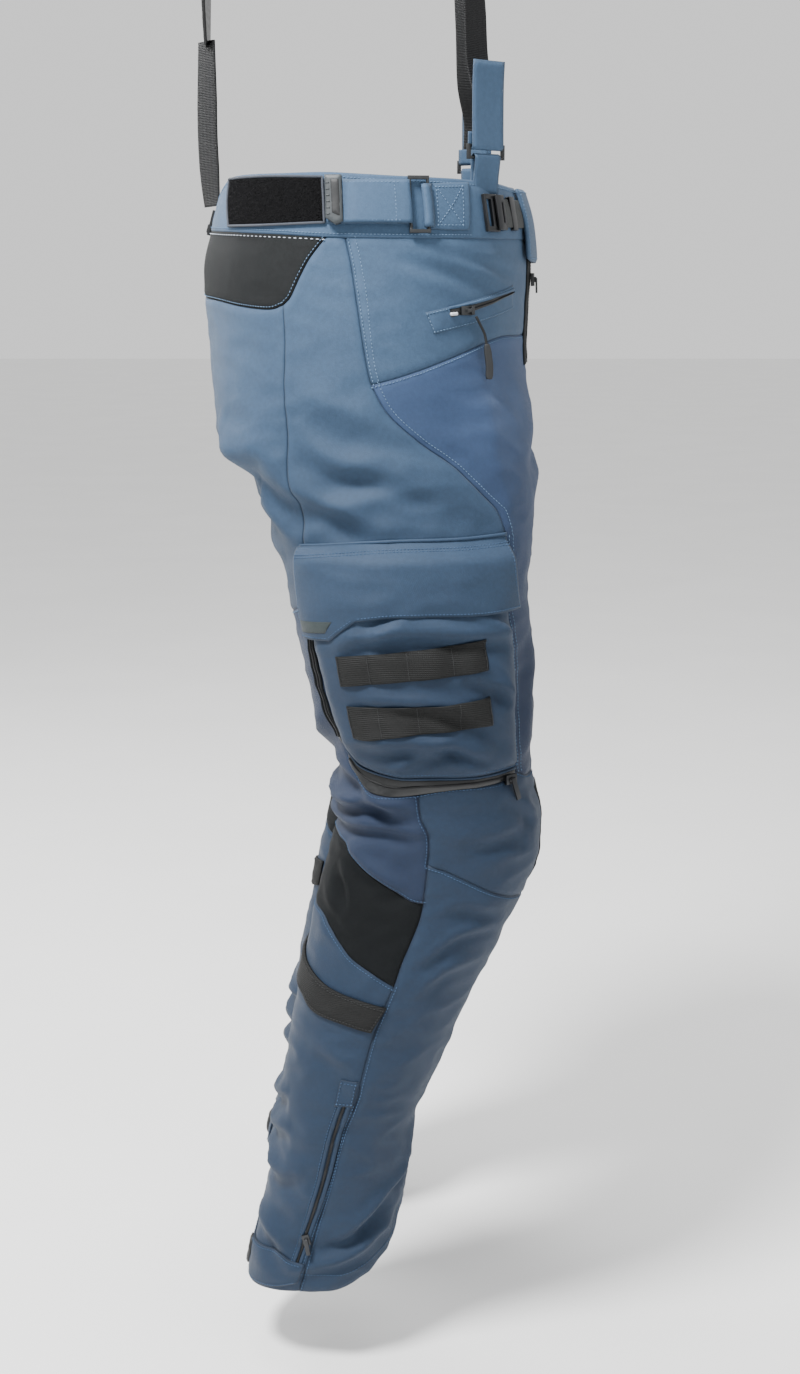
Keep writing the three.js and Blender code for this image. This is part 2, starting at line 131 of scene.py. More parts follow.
def outlineAt(u, z):  # u: 0 front middle or inseam, 0.5 outermost, 1 back middle or inseam
    inner, outer = stationAt(z, 3), stationAt(z, 4)
    drop = np.clip((worn["riseTop"] - z) / (worn["riseTop"] - worn["crotch"]), 0, 1)
    hip = 1 - drop**2.4
    turn = math.pi * u
    middle, half = (inner + outer) / 2, (outer - inner) / 2
    x = hip * power(np.cos(turn), 2.25) + (1 - hip) * power(np.sin(2 * turn), 2.3)
    w = hip * outer * power(np.sin(turn), 2.25) + (1 - hip) * (middle - half * power(np.cos(2 * turn), 2.3))
    return x, w


spanZ = np.arange(60, -1102, -2.0)
spanX = outlineAt(np.linspace(0, 1, 97)[None, :], spanZ[:, None])[0]


def surfaceAt(u, z):
    x, w = outlineAt(u, z)
    low, high = np.interp(-z, -spanZ, spanX.min(1)), np.interp(-z, -spanZ, spanX.max(1))
    back, front = stationAt(z, 1), stationAt(z, 2)
    s = (2 * x - low - high) / (high - low)
    tip = np.clip((worn["hemStart"] - z) / 200, 0, 9) ** 1.5 * 30
    return np.stack([(back + front) / 2 + (front - back) / 2 * s, -w, z + tip * s], axis=-1)


def unit(v):
    return v / np.maximum(np.linalg.norm(v, axis=-1, keepdims=True), 1e-9)


def alongU(u, z):
    return (surfaceAt(u + 0.004, z) - surfaceAt(u - 0.004, z)) / 0.008


def alongZ(u, z):
    return (surfaceAt(u, z + 1) - surfaceAt(u, z - 1)) / 2


def normalAt(u, z):
    return unit(np.cross(alongZ(u, z), alongU(u, z)))


def smoothStep(t):
    t = np.clip(t, 0, 1)
    return t * t * (3 - 2 * t)


def smoothRun(a, b, c, d, t):  # from b at t = 0 to c at t = 1, led by the points beside them
    return 0.5 * (2 * b + (c - a) * t + (2 * a - 5 * b + 4 * c - d) * t**2 + (3 * b - a - 3 * c + d) * t**3)


def curved(path, step=4.5):  # evenly spaced points of a drawn line, in (u, z)
    p = np.array(path, float) * [flatScale, 1]
    if len(p) > 2:
        q = np.vstack([2 * p[0] - p[1], p, 2 * p[-1] - p[-2]])
        t = np.linspace(0, 1, 13)[:-1, None]
        runs = [smoothRun(a, b, c, d, t) for a, b, c, d in zip(q[:-3], q[1:-2], q[2:-1], q[3:])]
        p = np.vstack([*runs, p[-1:]])
    gone = np.concatenate([[0], np.cumsum(np.linalg.norm(np.diff(p, axis=0), axis=1))])
    count = max(1, round(gone[-1] / step))
    at = np.linspace(0, gone[-1], count + 1)
    return np.stack([np.interp(at, gone, p[:, 0]) / flatScale, np.interp(at, gone, p[:, 1])], axis=1)


# Folds and creases that the cloth shows when worn
foldGain = {"waist": 1.6, "leg": 2.3}
folds = [  # path in (u, z), height of the ridge, its half width, share of the valley beside it
    ([(0.463, -45), (0.355, -55), (0.177, -80)], 1.7, 6, 0.7),
    ([(0.395, -38), (0.285, -48), (0.13, -60)], 1.3, 5, 0.7),
    ([(0.48, -57), (0.393, -72), (0.307, -86)], 1.2, 7, -0.5),
    ([(0.9, -205), (0.738, -222), (0.652, -222), (0.615, -262)], 3.0, 16, 0.9),
    ([(0.8, -262), (0.7, -272), (0.647, -305)], 2.6, 11, -0.9),
    ([(0.94, -240), (0.82, -285), (0.7, -322)], 3.2, 12, 0.8),
    ([(0.985, -262), (0.9, -315), (0.8, -350)], 3.0, 11, 0.8),
    ([(0.61, -165), (0.522, -185), (0.45, -212)], 1.8, 13, 0.7),
    ([(0.63, -248), (0.557, -268), (0.5, -294)], 2.2, 10, 0.9),
    ([(0.53, -215), (0.445, -242), (0.405, -285)], 1.6, 12, -0.6),
    ([(0.6, -190), (0.55, -225), (0.5, -235), (0.44, -262)], 2.0, 9, 0.9),
    ([(0.58, -270), (0.52, -262), (0.47, -248)], 1.6, 8, -0.8),
    ([(0.8, -190), (0.72, -235), (0.66, -290)], 2.2, 10, 0.8),
    ([(0.3, -170), (0.36, -230), (0.37, -300)], 1.6, 13, 0.6),
    ([(0.02, -215), (0.13, -232), (0.27, -262)], 2.6, 10, 0.8),
    ([(0.01, -250), (0.12, -275), (0.25, -330)], 2.8, 11, 0.8),
    ([(0.02, -290), (0.1, -345), (0.2, -420)], 2.2, 14, -0.7),
    ([(0.27, -395), (0.3, -440), (0.31, -505)], 1.6, 11, 0.8),
    ([(0.85, -520), (0.72, -545), (0.605, -538), (0.52, -541)], 4.4, 7, 1.0),
    ([(0.9, -560), (0.715, -563), (0.598, -560), (0.509, -565)], 3.6, 6, 1.0),
    ([(0.657, -582), (0.59, -603), (0.512, -622)], 2.0, 7, 0.8),
    ([(0.72, -500), (0.64, -515), (0.585, -535), (0.535, -556)], 2.4, 8, 0.8),
    ([(0.95, -495), (0.83, -505), (0.72, -480), (0.66, -450)], 2.8, 10, 0.8),
    ([(0.98, -540), (0.9, -585), (0.8, -600)], 3.0, 9, 0.8),
    ([(0.505, -566), (0.45, -572), (0.35, -562)], 1.9, 9, 0.9),
    ([(0.5, -584), (0.443, -592), (0.36, -588)], 1.6, 8, -0.8),
    ([(0.48, -637), (0.438, -634), (0.34, -650)], 1.2, 6, 0.8),
    ([(0.49, -700), (0.435, -664), (0.33, -660)], 1.5, 6, 0.8),
    ([(0.48, -735), (0.43, -700), (0.34, -694)], 1.3, 7, 0.8),
    ([(0.4, -530), (0.34, -545), (0.3, -570)], 1.6, 7, 0.9),
    ([(0.67, -600), (0.63, -620), (0.6, -650)], 1.8, 7, 0.9),
    ([(0.72, -628), (0.66, -642), (0.57, -672)], 1.4, 7, 0.7),
    ([(0.36, -955), (0.318, -925), (0.29, -870)], 2.0, 9, 0.9),
    ([(0.49, -985), (0.41, -957), (0.31, -925)], 2.4, 9, 0.9),
    ([(0.6, -1000), (0.463, -1004), (0.3, -985)], 2.2, 8, -0.8),
    ([(0.74, -955), (0.633, -970), (0.552, -994)], 2.6, 8, 0.9),
    ([(0.86, -846), (0.753, -850), (0.66, -836)], 3.0, 7, 0.9),
    ([(0.85, -874), (0.745, -878), (0.63, -868)], 2.8, 7, 0.9),
    ([(0.84, -900), (0.748, -904), (0.657, -914), (0.57, -905)], 2.8, 8, 0.9),
    ([(0.6, -775), (0.52, -800), (0.475, -835)], 1.4, 9, 0.8),
    ([(0.3, -760), (0.28, -820), (0.27, -880)], 1.4, 12, -0.7),
    ([(0.2, -900), (0.12, -925), (0.03, -915)], 2.8, 9, 0.9),
    ([(0.22, -945), (0.12, -965), (0.02, -960)], 2.8, 9, 0.9),
    ([(0.97, -930), (0.88, -950), (0.78, -945)], 2.8, 9, 0.9),
    ([(0.2, -560), (0.1, -575), (0.02, -565)], 2.2, 9, 0.8),
    ([(0.2, -640), (0.1, -628), (0.02, -640)], 1.8, 8, 0.8),
]


def laidOut(drawn):  # folds with their paths as evenly spaced points, in millimetres of cloth
    return [(curved(path, 9) * [flatScale, 1], *rest) for path, *rest in drawn]


folds = laidOut(folds)


def foldHeight(u, z, creases=folds):
    at = np.stack([u * flatScale, z], axis=-1).reshape(-1, 2)
    total = np.zeros(len(at))
    for path, height, width, valley in creases:
        height = height * foldGain["waist" if path[:, 1].mean() > -150 else "leg"]
        reach = 5 * width
        close = ((at > path.min(0) - reach) & (at < path.max(0) + reach)).all(1)
        if not close.any():
            continue
        p = at[close]
        a, d = path[:-1], np.diff(path, axis=0)
        t = np.clip(((p[:, None] - a) * d).sum(-1) / (d * d).sum(-1), 0, 1)
        away = p[:, None] - a - t[..., None] * d
        far = np.hypot(away[..., 0], away[..., 1])
        k = far.argmin(1)
        row = np.arange(len(p))
        share = (k + t[row, k]) / len(a)
        sign = np.sign(d[k, 0] * away[row, k, 1] - d[k, 1] * away[row, k, 0])
        s = far[row, k] * sign * np.sign(valley)
        taper = np.sin(math.pi * np.clip(share, 0, 1)) ** 0.7
        ridge = np.exp(-(np.abs(s / width) ** 1.6))
        hollow = abs(valley) * np.exp(-(((s - 1.9 * width) / (1.15 * width)) ** 2))
        total[close] += height * taper * (ridge - hollow)
    return total.reshape(np.shape(u))


unevenness = {  # size of the lumps in x, y and z, and a shift
    "big": ([52, 52, 80], 0.0),
    "small": ([19, 19, 27], 5.3),
    "crisp": ([44, 44, 21], 11.7),
    "depth": [20, 110, 300, 560, 700, 850, 1040],  # below the waist
    "looseness": [0.2, 0.7, 1.15, 1.35, 1.2, 1.6, 1.8],
}


def softHeight(p, hand):  # the small unevenness of cloth that isn't pulled tight
    rest = p.reshape(-1, 3) * [1, hand, 1] + (0 if hand > 0 else 37.0)
    big, small, crisp = (
        np.array([noise.noise(Vector(q)) for q in rest / unevenness[kind][0] + unevenness[kind][1]])
        for kind in ("big", "small", "crisp")
    )
    loose = np.interp(-p[..., 2].ravel(), unevenness["depth"], unevenness["looseness"])
    creases = 0.2 - np.abs(crisp)
    return (big * loose * 1.8 + small * loose * 0.6 + creases * loose * 2.2).reshape(p.shape[:-1])


def clothPoint(u, z, off, hand):  # a place on the worn cloth, off millimetres out from it
    u, z = np.asarray(u, float), np.asarray(z, float)
    p = surfaceAt(u, z)
    lift = foldHeight(u, z) + softHeight(p * [1, hand, 1], hand) + off
    return (p + normalAt(u, z) * lift[..., None]) * [1, hand, 1]


def seamDip(d):  # how the cloth sinks at a seam and rises beside it
    return -1.1 * np.exp(-((d / 1.5) ** 2)) + 0.4 * np.exp(-(((d - 5.5) / 3.2) ** 2))


def beside(path, d):  # the same line, d millimetres to its left on the cloth
    u, z = path[:, 0], path[:, 1]
    run = unit(np.gradient(surfaceAt(u, z), axis=0))
    across = np.cross(normalAt(u, z), run) * d
    ways = alongU(u, z), alongZ(u, z)
    return path + np.stack([(across * way).sum(1) / (way * way).sum(1) for way in ways], axis=1)


# Materials


class Wire:  # a socket that can stand in a sum
    def __init__(self, look, socket):
        self.look = look
        self.socket = socket

    def math(self, how, a, b):
        return self.look.node("ShaderNodeMath", {"operation": how}, [a, b])

    def __add__(self, other):
        return self.math("ADD", self, other)

    def __mul__(self, other):
        return self.math("MULTIPLY", self, other)

    def __sub__(self, other):
        return self.math("SUBTRACT", self, other)

    def __rsub__(self, other):
        return self.math("SUBTRACT", other, self)

    def __truediv__(self, other):
        return self.math("DIVIDE", self, other)

    __radd__ = __add__
    __rmul__ = __mul__


class Look:
    def __init__(self, name):
        self.material = bpy.data.materials.new(name)
        self.material.use_nodes = True
        self.tree = self.material.node_tree
        self.tree.nodes.clear()

    def node(self, kind, settings, values, out=0):
        made = self.tree.nodes.new(kind)
        for key, value in settings.items():
            setattr(made, key, value)
        pairs = values.items() if isinstance(values, dict) else enumerate(values)
        for key, value in pairs:
            if isinstance(value, Wire):
                self.tree.links.new(value.socket, made.inputs[key])
            else:
                made.inputs[key].default_value = value
        return Wire(self, made.outputs[out]) if made.outputs else None

    def mix(self, share, a, b, how="MIX"):
        settings = {"data_type": "RGBA", "blend_type": how}
        return self.node("ShaderNodeMix", settings, {0: share, 6: a, 7: b}, 2)

    def grain(self, where, scale, detail=2.0, rough=0.5):
        values = {"Vector": where, "Scale": scale, "Detail": detail, "Roughness": rough}
        return self.node("ShaderNodeTexNoise", {}, values)

    def ramp(self, value, low, high):
        values = {"Value": value, "From Min": low, "From Max": high}
        return self.node("ShaderNodeMapRange", {"clamp": True}, values)

    def place(self):
        return self.node("ShaderNodeTexCoord", {}, {}, 3)

    def clothMap(self):
        return self.node("ShaderNodeUVMap", {"uv_map": "cloth"}, {})

    def seamDistance(self):
        return self.node("ShaderNodeAttribute", {"attribute_name": "seam"}, {}, 2)

    def part(self, vector, axis):
        return self.node("ShaderNodeSeparateXYZ", {}, [vector], axis)

    def sine(self, value):
        return self.node("ShaderNodeMath", {"operation": "SINE"}, [value])

    def finish(self, colour, rough, height=None, depth=0.0004, strength=1.0, **fixed):
        values = {"Base Color": colour, "Roughness": rough, **fixed}
        if height is not None:
            bump = {"Strength": strength, "Distance": depth, "Height": height}
            values["Normal"] = self.node("ShaderNodeBump", {}, bump)
        shader = self.node("ShaderNodeBsdfPrincipled", {}, values)
        self.node("ShaderNodeOutputMaterial", {}, {"Surface": shader})
        return self.material


def tint(r, g, b):
    return (*[((v / 255 + 0.055) / 1.055) ** 2.4 if v > 10 else v / 3295 for v in (r, g, b)], 1)


def scaled(colour, k):
    return (*[min(1, v * k) for v in colour[:3]], 1)


def turnsPer(pitch):  # sine input for one wave every pitch millimetres, on a map in metres
    return 2 * math.pi * 1000 / pitch


# low sets how far the painted shade darkens the colour at the foot of the leg
def wovenCloth(name, colour, weave=1.15, grainDepth=0.17, rough=0.64, sheen=0.05, fade=0.16, slub=0.35,
               low=0.27, shine=0.3):
    look = Look(name)
    where = look.place()
    uv = look.clothMap()
    u = look.part(uv, 0)
    v = look.part(uv, 1)
    warp = look.sine(u * turnsPer(weave))
    weft = look.sine(v * turnsPer(weave))
    yarns = warp * weft
    speck = look.grain(where, 620, 3, 0.65)
    stretched = look.node("ShaderNodeVectorMath", {"operation": "MULTIPLY"}, [uv, (1400, 260, 1)])
    threads = look.grain(stretched, 1, 1)
    patch = look.grain(where, 9, 4, 0.55)
    seam = look.seamDistance()
    # painted shade: the cloth darkens within about a millimetre of a seam, in the hollow where it sinks
    groove = 1 - look.ramp(seam, 0.1, 1.3)
    rubbed = look.ramp(seam, 9.0, 3.0) * look.ramp(seam, 1.0, 3.0)
    rubbed = rubbed * look.ramp(look.grain(where, 60, 3), 0.4, 0.7)
    dull, bright = scaled(colour, 1 - fade * 0.5), scaled(colour, 1 + fade * 0.6)
    base = look.mix(look.ramp(patch, 0.3, 0.7), dull, bright)
    mottle = look.grain(where, 240, 3, 0.6)
    base = look.mix(look.ramp(speck, 0.3, 0.7) * 0.5, base, scaled(colour, 1 + grainDepth * 1.6))
    base = look.mix(look.ramp(mottle, 0.38, 0.62) * 0.35, base, scaled(colour, 1 - grainDepth * 1.8))
    base = look.mix(look.ramp(threads, 0.35, 0.75) * slub * 0.5, base, scaled(colour, 1 - grainDepth * 1.5))
    base = look.mix(rubbed * 0.28, base, scaled(colour, 1.35))
    base = look.mix(groove * 0.48, base, scaled(colour, 0.4))
    high = look.ramp(look.part(where, 2), -0.43, 0.0)  # painted shade: the colour darkens, and turns bluer, down the leg, standing in for the light that falls off lower down
    tone = look.mix(high, (low * 0.6, low * 0.88, low * 1.12, 1), (1, 1, 1, 1))
    base = look.mix(1.0, base, tone, "MULTIPLY")
    height = yarns * 0.25 + speck * 0.45 + threads * 0.2
    finish = {"Sheen Weight": sheen, "Sheen Roughness": 0.5, "Specular IOR Level": shine}
    return look.finish(base, look.ramp(speck, 0.2, 0.8) * 0.1 + rough - 0.05, height, 0.0005, 0.75, **finish)


def ribbedWeb(name, colour, rib=1.7, along="v", gloss=0.62):  # narrow woven goods: webbing and elastic
    look = Look(name)
    where = look.place()
    uv = look.clothMap()
    axis = look.part(uv, 1 if along == "v" else 0)
    other = look.part(uv, 0 if along == "v" else 1)
    ribs = look.sine(axis * turnsPer(rib))
    picks = look.sine(other * turnsPer(1.3))
    speck = look.grain(where, 700, 2)
    rubbed = look.grain(where, 35, 3)
    base = look.mix(look.ramp(ribs, -1, 1) * 0.6, scaled(colour, 0.8), scaled(colour, 1.15))
    base = look.mix(look.ramp(speck, 0.4, 0.7) * 0.5, base, scaled(colour, 1.5))
    base = look.mix(look.ramp(rubbed, 0.5, 0.75) * 0.3, base, scaled(colour, 1.6))
    rough = look.ramp(speck, 0.3, 0.7) * 0.15 + gloss
    height = ribs * 0.6 + picks * 0.2 + speck * 0.3
    return look.finish(base, rough, height, 0.0004, 0.7, **{"Specular IOR Level": 0.25})


def mouldedLook(name, colour, rough, metallic=0.0, pits=600, wear=0.15, depth=0.00008, shine=0.5):
    look = Look(name)
    where = look.place()
    fine = look.grain(where, pits, 2)
    broad = look.grain(where, 70, 3)
    base = look.mix(look.ramp(broad, 0.35, 0.7), scaled(colour, 1 - wear), scaled(colour, 1 + wear))
    base = look.mix(look.ramp(fine, 0.55, 0.75) * 0.3, base, scaled(colour, 1.5))
    finish = {"Metallic": metallic, "Specular IOR Level": shine}
    return look.finish(base, look.ramp(broad, 0.3, 0.8) * 0.16 + rough - 0.06, fine, depth, 0.7, **finish)


def coatedTape(name, colour):  # smooth film over zip tape, with fine creases
    look = Look(name)
    where = look.place()
    seam = look.seamDistance()
    creases = look.grain(where, 260, 4, 0.65)
    base = look.mix(look.ramp(creases, 0.35, 0.7), scaled(colour, 0.8), scaled(colour, 1.35))
    base = look.mix(1 - look.ramp(seam, 0.2, 2.0), base, scaled(colour, 0.4))
    return look.finish(base, look.ramp(creases, 0.3, 0.7) * 0.2 + 0.3, creases, 0.0003, 0.5)


looks = {
    "shell": wovenCloth("mainCloth", tint(56, 80, 106)),
    # the stretch cloth takes deeper painted shade down the leg, for the shadow under the cargo pocket
    "indigo": wovenCloth("stretchCloth", tint(53, 76, 111), weave=0.9, grainDepth=0.14, fade=0.12, slub=0.2,
                         low=0.22),
    "black": wovenCloth("blackStretch", tint(25, 27, 28), weave=0.8, grainDepth=0.25, rough=0.7, sheen=0.0,
                        slub=0.5, shine=0.16),
    "lining": wovenCloth("meshLining", tint(54, 58, 66), weave=2.4, grainDepth=0.4, rough=0.9),
    "olive": wovenCloth("oliveBar", tint(72, 80, 76), weave=0.9, grainDepth=0.3, rough=0.6),
    "webbing": ribbedWeb("webbing", tint(14, 15, 15), along="v"),
    "greyWeb": ribbedWeb("greyWebbing", tint(62, 64, 64), rib=1.4, along="u"),
    "elastic": ribbedWeb("braceElastic", tint(11, 12, 14), rib=1.5, along="u", gloss=0.55),
    "binding": ribbedWeb("greyBinding", tint(62, 66, 74), rib=0.9, along="u"),
    "pile": mouldedLook("loopPile", tint(13, 13, 15), 0.9, pits=900, shine=0.15),
    "pileBase": mouldedLook("loopBase", tint(12, 12, 13), 0.95, pits=700, depth=0.0005, shine=0.1),
    "coated": coatedTape("coatedZip", tint(13, 15, 17)),
    "coil": mouldedLook("zipCoil", tint(11, 12, 14), 0.5, shine=0.25),
    "plastic": mouldedLook("hardwarePlastic", tint(26, 28, 30), 0.4),
    "metal": mouldedLook("gunmetal", tint(54, 55, 57), 0.34, metallic=0.85, pits=400, wear=0.1),
    "rubber": mouldedLook("rubberPull", tint(50, 55, 58), 0.55, pits=1000),
    "darkRubber": mouldedLook("darkRubber", tint(21, 23, 25), 0.6, pits=1000),
    "thread": mouldedLook("toneThread", tint(94, 118, 144), 0.7, pits=1500, shine=0.2),
    # a darker copy of the tone thread: painted shade, for the rows on the lower, less lit parts and under
    # the flap
    "threadLow": mouldedLook("toneThreadLower", tint(60, 82, 110), 0.7, pits=1500, shine=0.2),
    "paleThread": mouldedLook("paleThread", tint(188, 196, 208), 0.65, pits=1500),
    "blackThread": mouldedLook("blackThread", tint(30, 31, 33), 0.7, pits=1500),
    "cord": ribbedWeb("pullCord", tint(22, 23, 24), rib=1.1, along="u"),
    "whiteCord": mouldedLook("cordEnd", tint(214, 216, 220), 0.6),
}
slots = {
    "main_cloth": ["shell", "thread", "threadLow", "paleThread"],
    "stretch_cloth": ["indigo"],
    "black_cloth": ["black", "lining", "coated", "blackThread"],
    "webbing": ["olive", "webbing", "greyWeb", "elastic", "binding", "pile", "pileBase", "cord",
                "whiteCord"],
    "black_hardware": ["coil", "plastic"],
    "buckle_metal": ["metal"],
    "rubber_pull": ["rubber", "darkRubber"],
}
slotOf = {look: slot for slot, those in slots.items() for look in those}
print("materials:", len(looks))

# Meshes, made in millimetres
kneeBend = {"start": -505, "end": -700, "x": 50, "y": -130}
made = []


def settle(obj, target):  # target is a body, or "knee:right" for cloth around that knee, which is only baked in place
    if target.startswith("knee:"):
        side = target[5:]
        x, y = kneeBend["x"] / 1000, kneeBend["y"] / 1000 * hands[side]
        start, end = kneeBend["start"] / 1000, kneeBend["end"] / 1000
        side + "_shank"
        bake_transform(obj)
    else:
        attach(obj, target)


def addPiece(name, points, faces, look, target, uv=None, seam=None, standsFor=(), sheet=None):
    mesh = bpy.data.meshes.new(name)
    mesh.from_pydata((np.asarray(points) / 1000).tolist(), [], faces)
    mesh.shade_smooth()
    if uv is not None:
        layer = mesh.uv_layers.new(name="cloth")
        corner = np.zeros(len(mesh.loops), np.int32)
        mesh.loops.foreach_get("vertex_index", corner)
        layer.data.foreach_set("uv", (np.asarray(uv) / 1000)[corner].astype(np.float32).ravel())
    if seam is not None:
        mesh.attributes.new("seam", "FLOAT", "POINT").data.foreach_set("value", np.asarray(seam, np.float32))
    mesh.materials.append(looks[look])
    obj = bpy.data.objects.new(name, mesh)
    bpy.context.scene.collection.objects.link(obj)
    place(obj, look, target, standsFor, sheet)
    return obj


def place(obj, look, target, standsFor=(), sheet=None):
    settle(obj, target)
    if standsFor:
        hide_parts(*standsFor)
    made.append(obj)


def edgeDistance(points, loop):
    a, b = loop, np.roll(loop, -1, axis=0)
    d = b - a
    out = np.full(len(points), 1e9)
    for start in range(0, len(points), 4000):
        p = points[start:start + 4000, None]
        t = np.clip(((p - a) * d).sum(-1) / np.maximum((d * d).sum(-1), 1e-12), 0, 1)
        away = p - a - t[..., None] * d
        out[start:start + 4000] = np.hypot(away[..., 0], away[..., 1]).min(1)
    return out


def isInside(points, loop):
    a, b = loop, np.roll(loop, -1, axis=0)
    odd = np.zeros(len(points), bool)
    for start in range(0, len(points), 4000):
        p = points[start:start + 4000, None]
        crosses = (a[:, 1] > p[..., 1]) != (b[:, 1] > p[..., 1])
        rise = np.where(b[:, 1] == a[:, 1], 1e-12, b[:, 1] - a[:, 1])
        at = a[:, 0] + (p[..., 1] - a[:, 1]) / rise * (b[:, 0] - a[:, 0])
        odd[start:start + 4000] = (crosses & (p[..., 0] < at)).sum(1) % 2 == 1
    return odd


def loopOf(*runs, step=4.5):  # a closed outline from several drawn lines, each curved on its own
    return np.vstack([curved(run, step)[:-1] for run in runs])


def outline(*runs, step=4.5):  # the same, where each run starts at the end of the one before it
    paths = []
    for run in runs:
        paths.append([*paths[-1][-1:], *run] if paths else run)
    if paths[-1][-1] != paths[0][0]:
        paths.append([paths[-1][-1], paths[0][0]])
    return loopOf(*paths, step=step)


def rolled(lift, drop, width=1.0, steep=1):  # how high a cloth lies whose edge is turned down
    return lambda d: lift - drop * np.exp(-((d / width) ** steep))


def flatNet(loop, step, rim):  # triangles that fill an outline, with a row of points beside its edge
    edge = loop * [flatScale, 1]
    ahead, behind = np.roll(edge, -1, axis=0), np.roll(edge, 1, axis=0)
    run = unit(ahead - behind)
    inward = np.stack([-run[:, 1], run[:, 0]], axis=1)
    if (edge[:, 0] * ahead[:, 1] - ahead[:, 0] * edge[:, 1]).sum() < 0:
        inward = -inward
    beads = [edge]
    for row in rim:
        ring = edge + inward * row
        beads.append(ring[isInside(ring, edge) & (edgeDistance(ring, edge) > row * 0.85)])
    low, high = edge.min(0), edge.max(0)
    xs, ys = np.arange(low[0], high[0], step), np.arange(low[1], high[1], step * 0.87)
    grid = np.array([(x + (step / 2 if j % 2 else 0), y) for j, y in enumerate(ys) for x in xs])
    if len(grid):
        grid = grid[isInside(grid, edge)]
        grid = grid[edgeDistance(grid, edge) > (rim[-1] if rim else 0) + step * 0.55]
        beads.append(grid)
    points = np.vstack(beads)
    n = len(edge)
    pairs = [(i, (i + 1) % n) for i in range(n)]
    points, _, faces = delaunay_2d_cdt([Vector(p) for p in points], pairs, [], 0, 1e-4)[:3]
    points, faces = np.array([tuple(p) for p in points]), np.array(faces)
    faces = faces[isInside(points[faces].mean(1), edge)]
    return points / [flatScale, 1], faces, edge


def clothShell(name, loop, look, target, side, thick=1.4, off=seamDip, step=4.1, rim=(1.6,), standsFor=(),
               held=None):
    hand = hands[side]
    uz, faces, edge = flatNet(loop, step, rim)
    u, z = uz[:, 0], uz[:, 1]
    stretch = np.linalg.norm(alongU(u, z), axis=1).mean()  # millimetres for one turn of u, here
    d = edgeDistance(uz * [stretch, 1], edge * [stretch / flatScale, 1])
    lift = off(d) if off.__code__.co_argcount == 1 else off(d, u, z)
    outer = clothPoint(u, z, lift, hand)
    inner = clothPoint(u, z, lift - thick, hand)
    facing = normalAt(u, z) * [1, hand, 1]
    uv = np.stack([u * stretch, z], axis=1)
    return closedShell(name, outer, inner, faces, facing, uv, d, look, target, standsFor, held)


def closedShell(name, outer, inner, faces, facing, uv, d, look, target, standsFor=(), held=None):
    way = np.cross(outer[faces[:, 1]] - outer[faces[:, 0]], outer[faces[:, 2]] - outer[faces[:, 0]])
    area = np.linalg.norm(way, axis=1).sum() / 2 / 1e6
    if (way * facing[faces[:, 0]]).sum() < 0:
        faces = faces[:, ::-1]
    n = len(outer)
    edges = np.vstack([faces[:, [0, 1]], faces[:, [1, 2]], faces[:, [2, 0]]]).tolist()
    keys = {(a, b) for a, b in edges}
    rim = sorted((b, a, a + n, b + n) for a, b in keys if (b, a) not in keys)
    solid = faces.tolist() + (faces[:, ::-1] + n).tolist() + rim
    sheet = None
    if held:
        wide, long = np.ptp(uv, axis=0) / 1000
        wide = min(max(wide, area / long * 1.0005), area / long / 0.32)
        sheet = {"flat": (wide, long), "held": held, "area": area}
    points, uv, d = np.vstack([outer, inner]), np.vstack([uv, uv]), np.concatenate([d, d])
    return addPiece(name, points, solid, look, target, uv, d, standsFor, sheet)


def bead(name, path, width, height, look, target, side, off=0.0, closed=False, sides=8, standsFor=()):
    hand = hands[side]
    u, z = path[:, 0], path[:, 1]
    middle, facing = clothPoint(u, z, off, hand), normalAt(u, z) * [1, hand, 1]
    return tube(name, middle, facing, width, height, look, target, closed, sides, standsFor)


def tube(name, middle, facing, width, height, look, target, closed=False, sides=8, standsFor=(), square=1.0):
    n = len(middle)
    if closed:
        run = unit(np.roll(middle, -1, axis=0) - np.roll(middle, 1, axis=0))
    else:
        run = unit(np.gradient(middle, axis=0))
    across = unit(np.cross(run, facing))
    facing = np.cross(across, run)
    wide = np.broadcast_to(np.asarray(width, float), n)[:, None]
    tall = np.broadcast_to(np.asarray(height, float), n)[:, None]
    turns = 2 * math.pi * (np.arange(sides) + 0.5) / sides
    rings = []
    for t in turns:
        x, y = power(math.cos(t), 2 / square), power(math.sin(t), 2 / square)
        rings.append(middle + across * wide / 2 * x + facing * tall / 2 * y)
    points = np.stack(rings, axis=1).reshape(-1, 3)
    faces = []
    last = n if closed else n - 1
    for i in range(last):
        a, b = i * sides, (i + 1) % n * sides
        for k in range(sides):
            m = (k + 1) % sides
            faces.append((a + k, a + m, b + m, b + k))
    if not closed:
        faces += [tuple(range(sides))[::-1], tuple(range((n - 1) * sides, n * sides))]
    gone = np.concatenate([[0], np.cumsum(np.linalg.norm(np.diff(middle, axis=0), axis=1))])
    girth = np.tile(np.linspace(-0.5, 0.5, sides), n) * float(wide.max())
    uv = np.stack([np.repeat(gone, sides), girth], axis=1)
    return addPiece(name, points, faces, look, target, uv, np.full(len(points), 4.0), standsFor)


def spline(points, count):
    p = np.array(points, float)
    q = np.vstack([2 * p[0] - p[1], p, 2 * p[-1] - p[-2]])
    at = np.linspace(0, len(p) - 1 - 1e-6, count)
    i = at.astype(int)
    t = (at - i)[:, None]
    return smoothRun(q[i], q[i + 1], q[i + 2], q[i + 3], t)


